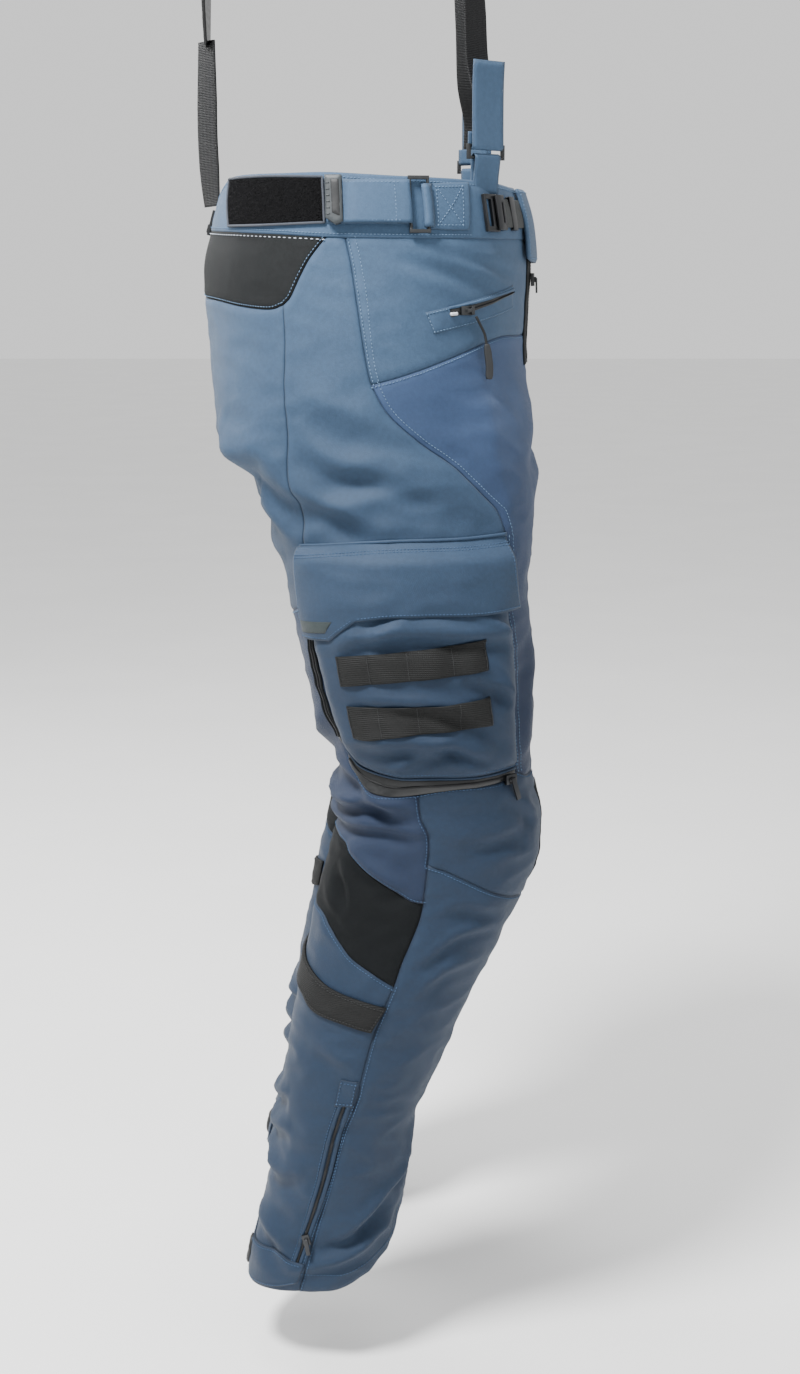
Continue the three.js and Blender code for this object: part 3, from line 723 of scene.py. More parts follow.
def sweptBand(name, middle, out, thick, look, target, uv, standsFor=()):
    rows, cols = middle.shape[:2]
    front, rear = (middle + out * thick / 2).reshape(-1, 3), (middle - out * thick / 2).reshape(-1, 3)
    index = np.arange(rows * cols).reshape(rows, cols)
    a, b = index[:-1, :-1].ravel(), index[:-1, 1:].ravel()
    c, d = index[1:, 1:].ravel(), index[1:, :-1].ravel()
    faces = np.vstack([np.stack([a, b, c], 1), np.stack([a, c, d], 1)])
    i, j = np.meshgrid(np.arange(rows), np.arange(cols), indexing="ij")
    near = np.minimum(np.minimum(i, rows - 1 - i), np.minimum(j, cols - 1 - j)).ravel() * 3.0
    facing, uv = out.reshape(-1, 3), uv.reshape(-1, 2)
    return closedShell(name, front, rear, faces, facing, uv, near, look, target, standsFor)


# A strap that goes round a bar, drawn as (u, off)
def wrapBand(name, profile, zs, thick, look, target, side, standsFor=()):
    hand = hands[side]
    prof = np.array(profile)
    uu, zz = np.meshgrid(prof[:, 0], zs, indexing="ij")
    off = np.broadcast_to(prof[:, 1:], uu.shape)
    rest = surfaceAt(uu, zz)
    middle = (rest + normalAt(uu, zz) * (off + foldHeight(uu, zz))[..., None]) * [1, hand, 1]
    out = unit(np.cross(np.gradient(middle, axis=0), np.gradient(middle, axis=1)))
    gone = np.cumsum(np.linalg.norm(np.diff(middle[:, :1], axis=0, prepend=middle[:1, :1]), axis=-1), axis=0)
    uv = np.stack([np.broadcast_to(gone, uu.shape), zz], axis=-1)
    return sweptBand(name, middle, out, thick, look, target, uv, standsFor)


# A folded strap beside the braces' ring
def ribbonFold(name, path, thick, width, side, target, standsFor=()):
    flip = np.array([1, hands[side], 1])
    line = spline(path, 44)
    across = np.array(brace["x"])
    at = np.linspace(-width / 2, width / 2, 9)
    middle = (line[:, None] + across * at[None, :, None]) * flip
    out = unit(np.cross(np.gradient(middle, axis=0), np.gradient(middle, axis=1)))
    gone = np.cumsum(np.linalg.norm(np.diff(line, axis=0, prepend=line[:1]), axis=1))
    uv = np.stack(np.broadcast_arrays(at, gone[:, None]), axis=-1)
    return sweptBand(name, middle, out, thick, "shell", target, uv, standsFor)


# Geometry nodes for what repeats
class Tree:
    def __init__(self, name, inputs):
        self.tree = bpy.data.node_groups.new(name, "GeometryNodeTree")
        self.socket("Geometry", "INPUT", "Geometry")
        for label, kind in inputs.items():
            self.socket(label, "INPUT", kind)
        self.socket("Geometry", "OUTPUT", "Geometry")
        self.given = self.tree.nodes.new("NodeGroupInput").outputs
        self.result = self.tree.nodes.new("NodeGroupOutput")

    def socket(self, label, way, kind):
        self.tree.interface.new_socket(name=label, in_out=way, socket_type="NodeSocket" + kind)

    def node(self, kind, values=None, settings=None, out=0):
        item = self.tree.nodes.new(kind)
        for key, value in (settings or {}).items():
            setattr(item, key, value)
        for key, value in (values or {}).items():
            if isinstance(value, bpy.types.NodeSocket):
                self.tree.links.new(value, item.inputs[key])
            else:
                item.inputs[key].default_value = value
        return item.outputs[out]

    def finish(self, geometry, material):
        painted = self.node("GeometryNodeSetMaterial", {"Geometry": geometry, "Material": material})
        self.tree.links.new(painted, self.result.inputs[0])
        return self.tree


def stitchTree():
    made = Tree("stitchRow", {"Spacing": "Float", "Length": "Float", "Width": "Float", "Height": "Float",
                              "Thread": "Material"})
    given = made.given
    line = made.node("GeometryNodeMeshToCurve", {"Mesh": given["Geometry"]})
    even = made.node("GeometryNodeResampleCurve", {"Curve": line, "Length": given["Spacing"]},
                     {"mode": "LENGTH"})
    run = made.node("GeometryNodeInputTangent")
    turn = made.node("FunctionNodeAlignRotationToVector", {"Vector": run}, {"axis": "X"})
    size = made.node("ShaderNodeCombineXYZ", {0: given["Length"], 1: given["Width"], 2: given["Height"]})
    stitch = made.node("GeometryNodeMeshIcoSphere", {"Radius": 0.5, "Subdivisions": 1})
    rows = made.node("GeometryNodeInstanceOnPoints",
                     {"Points": even, "Instance": stitch, "Rotation": turn, "Scale": size})
    real = made.node("GeometryNodeRealizeInstances", {"Geometry": rows})
    return made.finish(made.node("GeometryNodeSetShadeSmooth", {"Geometry": real}), given["Thread"])


def pileTree():
    made = Tree("loopPile", {"Density": "Float", "Seed": "Int", "Height": "Float", "Fibre": "Material"})
    given = made.given
    spots = made.node("GeometryNodeDistributePointsOnFaces",
                      {"Mesh": given["Geometry"], "Density": given["Density"], "Seed": given["Seed"]})
    tuft = made.node("GeometryNodeMeshIcoSphere", {"Radius": 0.5, "Subdivisions": 1})
    turn = made.node("FunctionNodeRandomValue",
                     {"Min": (-1.2, -1.2, -3.1), "Max": (1.2, 1.2, 3.1), "Seed": 3},
                     {"data_type": "FLOAT_VECTOR"})
    share = made.node("FunctionNodeRandomValue", {2: 0.6, 3: 1.3, "Seed": 5}, {"data_type": "FLOAT"}, 1)
    size = made.node("ShaderNodeMath", {0: given["Height"], 1: share}, {"operation": "MULTIPLY"})
    shape = made.node("ShaderNodeCombineXYZ", {0: size, 1: 0.0004, 2: size})
    loops = made.node("GeometryNodeInstanceOnPoints",
                      {"Points": spots, "Instance": tuft, "Rotation": turn, "Scale": shape})
    return made.finish(made.node("GeometryNodeRealizeInstances", {"Geometry": loops}), given["Fibre"])


def grown(name, tree, source, settings):  # runs a tree on a mesh and returns the plain mesh it makes
    item = bpy.data.objects.new(name + "Source", source)
    bpy.context.scene.collection.objects.link(item)
    step = item.modifiers.new("rows", "NODES")
    step.node_group = tree
    for socket in tree.interface.items_tree:
        if socket.in_out == "INPUT" and socket.name in settings:
            step[socket.identifier] = settings[socket.name]
    bpy.context.view_layer.update()
    ready = item.evaluated_get(bpy.context.evaluated_depsgraph_get())
    mesh = bpy.data.meshes.new_from_object(ready)
    bpy.data.objects.remove(item)
    obj = bpy.data.objects.new(name, mesh)
    bpy.context.scene.collection.objects.link(obj)
    return obj


stitchKinds = {
    "fine": {"Spacing": 0.0032, "Length": 0.0024, "Width": 0.00085, "Height": 0.0008},
    "bold": {"Spacing": 0.0052, "Length": 0.0032, "Width": 0.0009, "Height": 0.0009},
    "tack": {"Spacing": 0.0009, "Length": 0.0012, "Width": 0.001, "Height": 0.0007},
    "coil": {"Spacing": 0.00135, "Length": 0.0010, "Width": 0.0017, "Height": 0.0013},
}
threadProud = 0.22
rowsByPiece = {}
rowsTree = stitchTree()


# A row of stitches d millimetres beside a path; sink lays it in the hollow of a seam
def sewRow(path, target, side, d=0.0, off=0.0, kind="fine", thread="thread", sink=False):
    line = beside(path, d) if d else path
    lift = off(line[:, 0], line[:, 1]) if callable(off) else off
    if sink:
        lift = lift + seamDip(abs(d))
    points = clothPoint(line[:, 0], line[:, 1], lift + threadProud, hands[side])
    rowsByPiece.setdefault((target, kind, thread), []).append(points)


def sewLines(runs, *where, **how):
    for run in runs:
        sewRow(curved(run, 3), *where, **how)


def growRows():
    for (target, kind, thread), lines in rowsByPiece.items():
        points, edges = [], []
        for line in lines:
            start = len(points)
            points += (line / 1000).tolist()
            edges += [(start + i, start + i + 1) for i in range(len(line) - 1)]
        mesh = bpy.data.meshes.new("rows")
        mesh.from_pydata(points, edges, [])
        where = target[5:] + "_leg" if target.startswith("knee:") else target
        settings = {**stitchKinds[kind], "Thread": looks[thread]}
        obj = grown(f"{where}_{kind}_{thread}", rowsTree, mesh, settings)
        place(obj, thread, target)


# Cut lines of the right side, in (u, z)
lines = {
    "bandLow": [(0, -34), (0.1, -34), (0.31, -34), (0.45, -34), (0.53, -34)],
    "bandMid": [(0.53, -34), (0.56, -34)],
    "yokeFront": [(0.56, -34), (0.585, -52), (0.606, -72), (0.621, -86), (0.637, -93)],
    "yokeLow": [(0.637, -93), (0.667, -97), (0.74, -95), (0.84, -90), (1, -87)],
    "backSeam": [(0.637, -93), (0.632, -157), (0.611, -210), (0.613, -262), (0.632, -307), (0.646, -352)],
    "backLow": [(0.646, -352), (0.69, -366), (0.78, -376), (0.9, -372), (1, -362)],
    "pocketRear": [(0.646, -352), (0.653, -390), (0.648, -437), (0.641, -480), (0.639, -500)],
    "hipSeam": [(0.53, -34), (0.515, -62), (0.503, -112), (0.495, -161)],
    "thighSeam": [(0.495, -161), (0.482, -187), (0.453, -212), (0.422, -232), (0.4, -257), (0.384, -275),
                  (0.372, -297)],
    "pocketFront": [(0.372, -297), (0.364, -360), (0.36, -407), (0.352, -465), (0.35, -515)],
    "hipLow": [(0.495, -161), (0.25, -125), (0.125, -122), (0, -121)],
    "kneeTop": [(0.35, -515), (0.3, -523), (0.2, -523), (0, -521)],
    "zipLowFront": [(0.35, -515), (0.395, -521), (0.473, -522), (0.524, -528)],
    "zipLowRear": [(0.524, -528), (0.565, -530), (0.605, -526), (0.639, -500)],
    "kneeSeam": [(0.524, -528), (0.52, -552), (0.510, -568), (0.508, -597)],
    "kneeSeamLow": [(0.508, -597), (0.504, -616), (0.5, -635)],
    "kneeLow": [(0.508, -597), (0.45, -615), (0.388, -630), (0.3, -642), (0.15, -650), (0, -650)],
    "calfTop": [(0.5, -635), (0.517, -632), (0.547, -622), (0.59, -610), (0.635, -597), (0.667, -585),
                (0.75, -583), (0.84, -592), (0.93, -612), (1, -628)],
    "calfFront": [(0.5, -635), (0.498, -655), (0.5, -690), (0.5, -717)],
    "calfLow": [(0.5, -717), (0.535, -705), (0.58, -692), (0.647, -667), (0.7, -655), (0.8, -657),
                (0.9, -674), (1, -690)],
    "shankSeam": [(0.5, -717), (0.503, -765), (0.5, -812), (0.498, -840), (0.512, -911), (0.527, -997),
                  (0.535, -1029)],
    "hemFront": [(0.535, -1029), (0.497, -1036), (0.448, -1044), (0.37, -1043), (0.302, -1028),
                 (0.27, -1008), (0.15, -1000), (0, -1006)],
    "hemRear": [(0.535, -1029), (0.6, -1023), (0.675, -1021), (0.8, -1019), (1, -1006)],
}
panels = {  # cut lines in order (a minus turns one round), cloth, what it rides on
    "back_panel": (["-yokeLow", "backSeam", "backLow", [(1, -362), (1, -272), (1, -87)]],
                   "shell", "garment"),
    "side_panel": (["-bandMid", "hipSeam", "thighSeam", "pocketFront", "zipLowFront", "zipLowRear",
                    "-pocketRear", "-backSeam", "-yokeFront"], "shell", "knee"),
    "hip_panel": (["bandLow", "hipSeam", "hipLow", [(0, -121), (0, -34)]], "shell", "garment"),
    "front_panel": (["hipLow", [(0, -121), (0, -272), (0, -521)], "-kneeTop", "-pocketFront", "-thighSeam"],
                    "indigo", "knee"),
    "knee_rear": (["backLow", [(1, -362), (1, -628)], "-calfTop", "-kneeSeamLow", "-kneeSeam", "zipLowRear",
                   "-pocketRear"], "indigo", "knee"),
    "knee_front": (["kneeTop", [(0, -521), (0, -650)], "-kneeLow", "-kneeSeam", "-zipLowFront"],
                   "shell", "knee"),
    "calf_panel": (["calfTop", [(1, -628), (1, -690)], "-calfLow", "-calfFront"], "black", "knee"),
    "shank_front": (["kneeLow", [(0, -650), (0, -1006)], "-hemFront", "-shankSeam", "-calfFront",
                     "-kneeSeamLow"], "shell", "knee"),
    "shank_rear": (["calfLow", [(1, -690), (1, -1006)], "-hemRear", "-shankSeam"], "shell", "knee"),
}


def back(name):
    return lines[name][::-1]


def rideOf(target, side):
    return "knee:" + side if target == "knee" else target


for side in hands:
    for name, (runs, look, target) in panels.items():
        paths = [run if isinstance(run, list) else back(run[1:]) if run[0] == "-" else lines[run]
                 for run in runs]
        clothShell(f"{side}_{name}_cloth", loopOf(*paths), look, rideOf(target, side), side, held="hung",
                   standsFor=[f"{side}_{name}"])
print("panels cut:", len(made))

# Stitching along the seams
seamRows = [  # thread, what it rides on, then the lines, each with its distance beside the seam
    ("thread", "garment", [("yokeFront", -2.4), ("yokeLow", -2.4), ("hipSeam", 2.2), ("hipSeam", 8.0),
                           ("hipLow", -2.2), ("thighSeam", 7.0), ("backLow", 2.4)]),
    ("thread", "knee", [("pocketFront", 3.2), ("pocketFront", 8.5)]),
    ("threadLow", "knee", [("kneeTop", -2.2), ("kneeSeam", -2.2), ("kneeLow", -2.2), ("calfTop", -2.2),
                           ("calfLow", 2.4), ("shankSeam", 2.4), ("zipLowFront", 2.4), ("zipLowRear", 2.4)]),
]
hemRow = {"above": 18, "off": 0.1}
for side in hands:
    for thread, target, rows in seamRows:
        for name, d in rows:
            sewRow(curved(lines[name], 3), rideOf(target, side), side, d, 0.0, "fine", thread, sink=True)
    for name in ("hemFront", "hemRear"):
        sewRow(curved(lines[name], 3) + [0, hemRow["above"]], "knee:" + side, side, 0, hemRow["off"], "fine",
               "threadLow")

# Waistband, with the yoke below it and the lining inside
band = {
    "top": [(0.035, 9), (0.11, 10), (0.2, 13), (0.312, 15), (0.455, 17), (0.562, 20), (0.672, 20), (0.8, 20),
            (0.868, 18), (0.948, 8), (1, 4)],
    "low": [(0.035, -36), (0.31, -36), (0.45, -36), (0.56, -35), (0.675, -32), (0.9, -28), (1, -27)],
    "off": 1.3,
    "thick": 3.2,
}
yoke = {
    "top": [(0.56, -34), (0.7, -27), (0.85, -24), (1, -23)],
    "row": [(0.565, -37), (0.675, -34.5), (0.9, -30.5), (1, -29.5)],
    "thick": 1.6,
}
lining = {
    "reach": {"torso_lining": (12, -270), "thigh_lining": (-268, -470)},  # top and low edge
    "columns": 61,
    "rows": 34,
    "bandLow": -20,  # it lies closer to the cloth above this
    "behind": (2.2, 4.4),
    "thick": 0.7,
    "turn": 520,  # millimetres of lining for one turn of u
    "seam": 9.0,
}


def mirrored(path):
    return [(2 - u, z) for u, z in reversed(path)]


def across(path):  # a line that runs on over the middle of the back
    return path + mirrored(path)[1:]


def bandOff(d):  # the edge is rolled, with a groove beside it
    return band["off"] - 1.1 * np.exp(-((d / 1.6) ** 2)) - 0.5 * np.exp(-(((d - 4.2) / 1.3) ** 2))


bandLoop = loopOf(across(band["top"]), [(1.965, 9), (1.965, -36)], across(band["low"])[::-1],
                  [(0.035, -36), (0.035, 9)])
clothShell("waistband_cloth", bandLoop, "shell", "garment", "right", band["thick"], bandOff, 4.2, (1.6, 4.0),
           ["waistband"], "stretched")
sewRow(curved(across(band["top"]), 3), "garment", "right", 4.2, band["off"] - 0.4)
sewRow(curved(across(band["low"][1:]), 3), "garment", "right", -3.2, band["off"] - 0.1)
yokeLoop = loopOf(across(yoke["top"]), mirrored(lines["yokeFront"])[::-1], mirrored(lines["yokeLow"])[::-1],
                  back("yokeLow"), back("yokeFront"))
clothShell("back_yoke_cloth", yokeLoop, "black", "garment", "right", yoke["thick"], standsFor=["back_yoke"],
           held="stretched")
sewRow(curved(across(yoke["row"]), 3), "garment", "right", 0, 0.5, "bold", "paleThread")
for side in hands:
    hand, n = hands[side], lining["columns"]
    for name, (top, low) in lining["reach"].items():
        uu, zz = np.meshgrid(np.linspace(0, 1, n), np.linspace(top, low, lining["rows"]))
        u, z = uu.ravel(), zz.ravel()
        drop = np.where(z > lining["bandLow"], *lining["behind"])
        corners = [row * n + k for row in range(lining["rows"] - 1) for k in range(n - 1)]
        grid = [(a, a + 1, a + n + 1) for a in corners] + [(a, a + n + 1, a + n) for a in corners]
        outer = clothPoint(u, z, -drop, hand)
        inner = clothPoint(u, z, -drop - lining["thick"], hand)
        uv = np.stack([u * lining["turn"], z], axis=1)
        closedShell(f"{side}_{name}", outer, inner, np.array(grid), normalAt(u, z) * [1, hand, 1], uv,
                    np.full(len(u), lining["seam"]), "lining", "garment", held="hung")
print("waistband done")

# Cargo pocket
cargo = {
    "gusset": 4.2,
    "swell": 11.0,
    "flapGap": 2.6,
    "cellSwell": 1.7,
    "cells": 4,
    "span": (0.34, 0.32, -235, 285),  # front edge and width in u, top and height in z
    "bag": [[(0.636, -308), (0.372, -308)], [(0.364, -360), (0.36, -407), (0.353, -465), (0.353, -508)],
            [(0.44, -512), (0.52, -513), (0.56, -512), (0.61, -505), (0.634, -490)],
            [(0.64, -437), (0.645, -392), (0.641, -345), (0.636, -308)]],
    "rows": {"front": [(0.372, -370), (0.366, -407), (0.359, -465), (0.359, -506)],
             "low": [(0.36, -507), (0.44, -508), (0.52, -509), (0.56, -508), (0.605, -501), (0.628, -488)],
             "rear": [(0.628, -486), (0.634, -437), (0.638, -394)]},
}
flap = {
    "edges": {
        "top": [(0.636, -305), (0.57, -301), (0.503, -297), (0.44, -296), (0.374, -294)],
        "front": [(0.374, -294), (0.364, -330), (0.35, -362)],
        "low": [(0.35, -362), (0.42, -364), (0.505, -363), (0.557, -367)],
        "notch": [(0.557, -367), (0.598, -386)],
        "tail": [(0.598, -386), (0.66, -388)],
        "rear": [(0.66, -388), (0.65, -345), (0.636, -305)],
    },
    "bar": [[(0.588, -368), (0.65, -371)], [(0.655, -382)], [(0.602, -379)]],
    "topRows": (-7.0, -9.2),
    "edgeRow": -2.6,
}
webRows = {
    "upper": ([(0.595, -400), (0.51, -393), (0.42, -385)], [(0.42, -412), (0.51, -419), (0.595, -427)]),
    "lower": ([(0.592, -445), (0.5, -442), (0.415, -437)],
              [(0.417, -463), (0.5, -467), (0.565, -473), (0.592, -473)]),
}
pocketZips = {
    "rearTape": [[(0.668, -388), (0.667, -437), (0.656, -483)], [(0.641, -488)],
                 [(0.652, -437), (0.653, -388)]],
    "rearCoil": [(0.66, -391), (0.659, -437), (0.649, -482)],
    "lowTape": [[(0.353, -512), (0.44, -514), (0.52, -515), (0.56, -514), (0.612, -508), (0.638, -494)],
                [(0.643, -504)],
                [(0.608, -525), (0.565, -531), (0.522, -529), (0.473, -524), (0.4, -521), (0.353, -517)]],
    "lowCoil": [(0.365, -516.5), (0.44, -517.5), (0.52, -521), (0.565, -522), (0.61, -515), (0.637, -500)],
    "lowLip": [(0.353, -511), (0.44, -513), (0.52, -514), (0.56, -513), (0.612, -507), (0.637, -493)],
    "lipBeside": 4.4,
}
pocketFolds = laidOut([
    ([(0.6, -392), (0.56, -380), (0.5, -376), (0.43, -386)], 2.4, 6, 0.9),
    ([(0.5, -366), (0.44, -378), (0.365, -382)], 2.0, 6, 0.9),
    ([(0.6, -436), (0.5, -438), (0.44, -452), (0.38, -476)], 1.8, 6, 0.8),
    ([(0.63, -482), (0.56, -476), (0.48, -478), (0.42, -494)], 2.4, 7, 0.9),
    ([(0.42, -400), (0.39, -425), (0.375, -450)], 1.8, 6, 0.7),
    ([(0.5, -362), (0.515, -370), (0.55, -387)], 1.9, 4.5, 0.9),
    ([(0.43, -366), (0.4, -372), (0.36, -388)], 1.7, 4.5, -0.9),
    ([(0.45, -412), (0.41, -424), (0.362, -440)], 1.8, 5, 0.9),
    ([(0.56, -512), (0.52, -492), (0.47, -472)], 2.0, 5, 0.9),
    ([(0.51, -484), (0.47, -497), (0.42, -510)], 1.6, 4.5, -0.9),
])


def bulge(u, z):
    front, wide, top, tall = cargo["span"]
    a, b = np.clip((u - front) / wide, 0, 1), np.clip((top - z) / tall, 0, 1)
    return cargo["swell"] * np.sqrt(4 * a * (1 - a)) * np.sqrt(4 * b * (1 - b))


def pocketOff(d, u, z):
    ruck = foldHeight(u, z, pocketFolds) * smoothStep(d / 14)
    return 0.5 + cargo["gusset"] * smoothStep(d / 6) ** 0.7 + bulge(u, z) * smoothStep(d / 20 + 0.15) + ruck


def onPocket(u, z):
    return 0.5 + cargo["gusset"] + bulge(u, z) + foldHeight(u, z, pocketFolds)


def besidePocket(u, z):  # on the pocket, near its edge
    return pocketOff(np.full(len(u), 3.4), u, z)


def flapOff(d, u, z):
    fall = smoothStep((-296 - z) / 22)
    edge = -0.7 * np.exp(-((d / 1.8) ** 2)) - 0.35 * np.exp(-(((d - 7) / 1.2) ** 2))
    return 1.6 + fall * (cargo["gusset"] + bulge(u, z) * 0.98 + cargo["flapGap"] - 0.6) + edge


def onFlap(u, z):
    return flapOff(np.full(np.shape(u), 20.0), u, z)


for side in hands:
    knee = "knee:" + side
    flapBody = f"{side}_cargo_flap"
    clothShell(f"{side}_cargo_bag_cloth", outline(*cargo["bag"], step=4), "shell", knee, side, 1.2,
               pocketOff, 4.2, (1.5, 3.5), [f"{side}_cargo_bag"], "hung")
    clothShell(f"{side}_cargo_flap_cloth", loopOf(*flap["edges"].values(), step=4), "shell", flapBody, side,
               2.0, flapOff, 4.2, (1.6, 3.2), [flapBody], "hung")
    topRow = curved(flap["edges"]["top"], 3)
    bead(f"{side}_flap_piping", topRow, 3.4, 2.8, "shell", "garment", side, 1.3)
    for d in flap["topRows"]:
        sewRow(topRow, flapBody, side, d, onFlap, "fine", "threadLow")
    for name in ("front", "low", "notch", "tail", "rear"):
        sewRow(curved(flap["edges"][name], 3)[1:-1], flapBody, side, flap["edgeRow"],
               lambda u, z: onFlap(u, z) - 0.35, "fine", "threadLow")
    clothShell(f"{side}_olive_bar", outline(*flap["bar"], step=3), "olive", flapBody, side, 0.5,
               lambda d, u, z: onFlap(u, z) + 0.45 - 0.25 * np.exp(-d), 3, (0.8,))
    for name, (top, low) in webRows.items():
        first, last = top[-1][0], top[0][0]

        def webOff(d, u, z):  # the tape is loose between its bar tacks
            cell = np.abs(np.sin(math.pi * cargo["cells"] * np.clip((u - first) / (last - first), 0, 1)))
            return onPocket(u, z) + 1.5 + cargo["cellSwell"] * cell**0.8 - 0.5 * np.exp(-((d / 1.2) ** 2))

        webLoop = loopOf(top, [top[-1], low[0]], low, [low[-1], top[0]], step=3.5)
        clothShell(f"{side}_webbing_{name}_cloth", webLoop, "webbing", "garment", side, 1.3, webOff, 3.4,
                   (1.2,), [f"{side}_webbing_{name}"])
        for cell in range(cargo["cells"] + 1):
            u = first + (last - first) * min(max(cell / cargo["cells"], 0.012), 0.988)
            head, foot = np.interp(u, *np.array(top[::-1]).T), np.interp(u, *np.array(low).T)
            sewRow(curved([(u, head - 1.5), (u, foot + 1.5)], 2), "garment", side, 0,
                   lambda u, z: onPocket(u, z) + 1.6, "tack", "blackThread")
    clothShell(f"{side}_rear_zip_tape", outline(*pocketZips["rearTape"], step=3.5), "coated", knee, side,
               1.0, rolled(1.0, 0.7), 3, (1.2,))
    rearCoil = curved(pocketZips["rearCoil"], 2)
    bead(f"{side}_rear_zip_coil", rearCoil, 2.6, 1.6, "coil", knee, side, 1.2)
    for name, way in (("front", -1), ("back", 1)):
        bead(f"{side}_rear_zip_lip_{name}", beside(rearCoil, way * pocketZips["lipBeside"]), 2.4, 2.2,
             "black", knee, side, 0.9)
    clothShell(f"{side}_cargo_zip_tape", outline(*pocketZips["lowTape"], step=3.5), "coated", knee, side,
               1.0, lambda d: 0.9 + 0.7 * smoothStep(d / 6) - 0.7 * np.exp(-d), 3, (1.2,))
    bead(f"{side}_cargo_zip_coil", curved(pocketZips["lowCoil"], 2), 2.2, 1.4, "coil", knee, side, 1.7)
    bead(f"{side}_cargo_zip_lip", curved(pocketZips["lowLip"], 3), 2.4, 1.6, "shell", knee, side, 1.0)
    sewLines(cargo["rows"].values(), knee, side, 0, besidePocket, "fine", "threadLow")
print("cargo pockets done")

# Knee patch, calf strap, ankle zip and hem
kneePatch = {
    "outline": [[(0.28, -538), (0.262, -562), (0.27, -598), (0.278, -628)], [(0.16, -634), (0.05, -632)],
                [(0.035, -585), (0.05, -540)], [(0.16, -535), (0.28, -538)]],
    "thick": 1.0,
}
calfStrap = {
    "top": [(0.82, -694), (0.76, -698), (0.715, -705), (0.613, -722), (0.535, -732), (0.5, -737)],
    "end": [(0.5, -737), (0.508, -763)],
    "low": [(0.508, -763), (0.56, -756), (0.63, -750), (0.708, -736), (0.82, -722)],
    "root": [(0.82, -722), (0.82, -694)],
}
hemTab = {
    "top": [(0.79, -984), (0.753, -987), (0.615, -987), (0.565, -995), (0.532, -1000)],
    "end": [(0.532, -1000), (0.54, -1019)],
    "low": [(0.54, -1019), (0.6, -1020), (0.675, -1018), (0.75, -1016), (0.79, -1014)],
    "root": [(0.79, -1014), (0.79, -984)],
}
stud = {"at": (0.738, -1000.5), "radius": (0.0225, 12.5), "thick": 3.0}
ankleZip = {
    "line": [(0.513, -838), (0.518, -870), (0.526, -911), (0.538, -960), (0.549, -999)],
    "lips": {"front": 4.4, "rear": -4.4},
    "stop": [[(0.503, -812), (0.534, -812)], [(0.531, -839)], [(0.5, -839)]],
    "stopRows": [[(0.506, -815), (0.531, -815)], [(0.503, -836), (0.528, -836)],
                 [(0.506, -815), (0.503, -836)], [(0.531, -815), (0.528, -836)]],
}


def studOff(d):  # a raised rim with a flat middle
    return 4.4 + 1.3 * smoothStep(d / 2.5) - 0.5 * smoothStep((d - 6) / 2)


for side in hands:
    knee, shank = "knee:" + side, side + "_shank"
    strapBody, tabBody = side + "_calf_strap", side + "_hem_tab"
    clothShell(f"{side}_knee_patch", outline(*kneePatch["outline"]), "black", knee, side, kneePatch["thick"],
               rolled(1.3, 1.0, 1.6, 2), held="stretched")
    clothShell(f"{side}_calf_strap_cloth", loopOf(*calfStrap.values(), step=4), "webbing", strapBody, side,
               2.0, rolled(3.2, 0.9, 1.5, 2), 3.6, (1.4,), [strapBody], "stretched")
    for name in ("top", "low", "end"):
        sewRow(curved(calfStrap[name], 3)[1:-1], strapBody, side, -2.6, 3.15, "fine", "blackThread")
    clothShell(f"{side}_hem_tab_cloth", loopOf(*hemTab.values(), step=4), "shell", tabBody, side, 1.6,
               rolled(2.8, 0.9, 1.6, 2), 3.6, (1.4,), [tabBody], "hung")
    for name in ("top", "low"):
        sewRow(curved(hemTab[name], 3)[2:-2], tabBody, side, -2.4, 2.75, "fine", "threadLow")
    turns = np.linspace(0, 2 * math.pi, 29)[:-1]
    studLoop = np.stack([np.cos(turns), np.sin(turns)], axis=1) * stud["radius"] + stud["at"]
    clothShell(f"{side}_hem_stud", studLoop, "darkRubber", tabBody, side, stud["thick"], studOff, 3,
               (1.0, 2.4))
    zipLine = curved(ankleZip["line"], 2)
    bead(f"{side}_ankle_zip_coil", zipLine, 3.0, 1.8, "coil", shank, side, 0.7)
    for name, d in ankleZip["lips"].items():
        bead(f"{side}_ankle_zip_{name}_lip", beside(zipLine, d), 4.0, 1.9, "shell", shank, side, 0.5)
        sewRow(beside(zipLine, d * 1.8), shank, side, 0, 0.1, "fine", "threadLow")
    clothShell(f"{side}_ankle_zip_stop", outline(*ankleZip["stop"], step=3), "shell", shank, side, 1.0,
               rolled(1.9, 0.9), 3, (1.0,))
    sewLines(ankleZip["stopRows"], shank, side, 0, 1.9, "fine", "threadLow")
print("lower legs done")

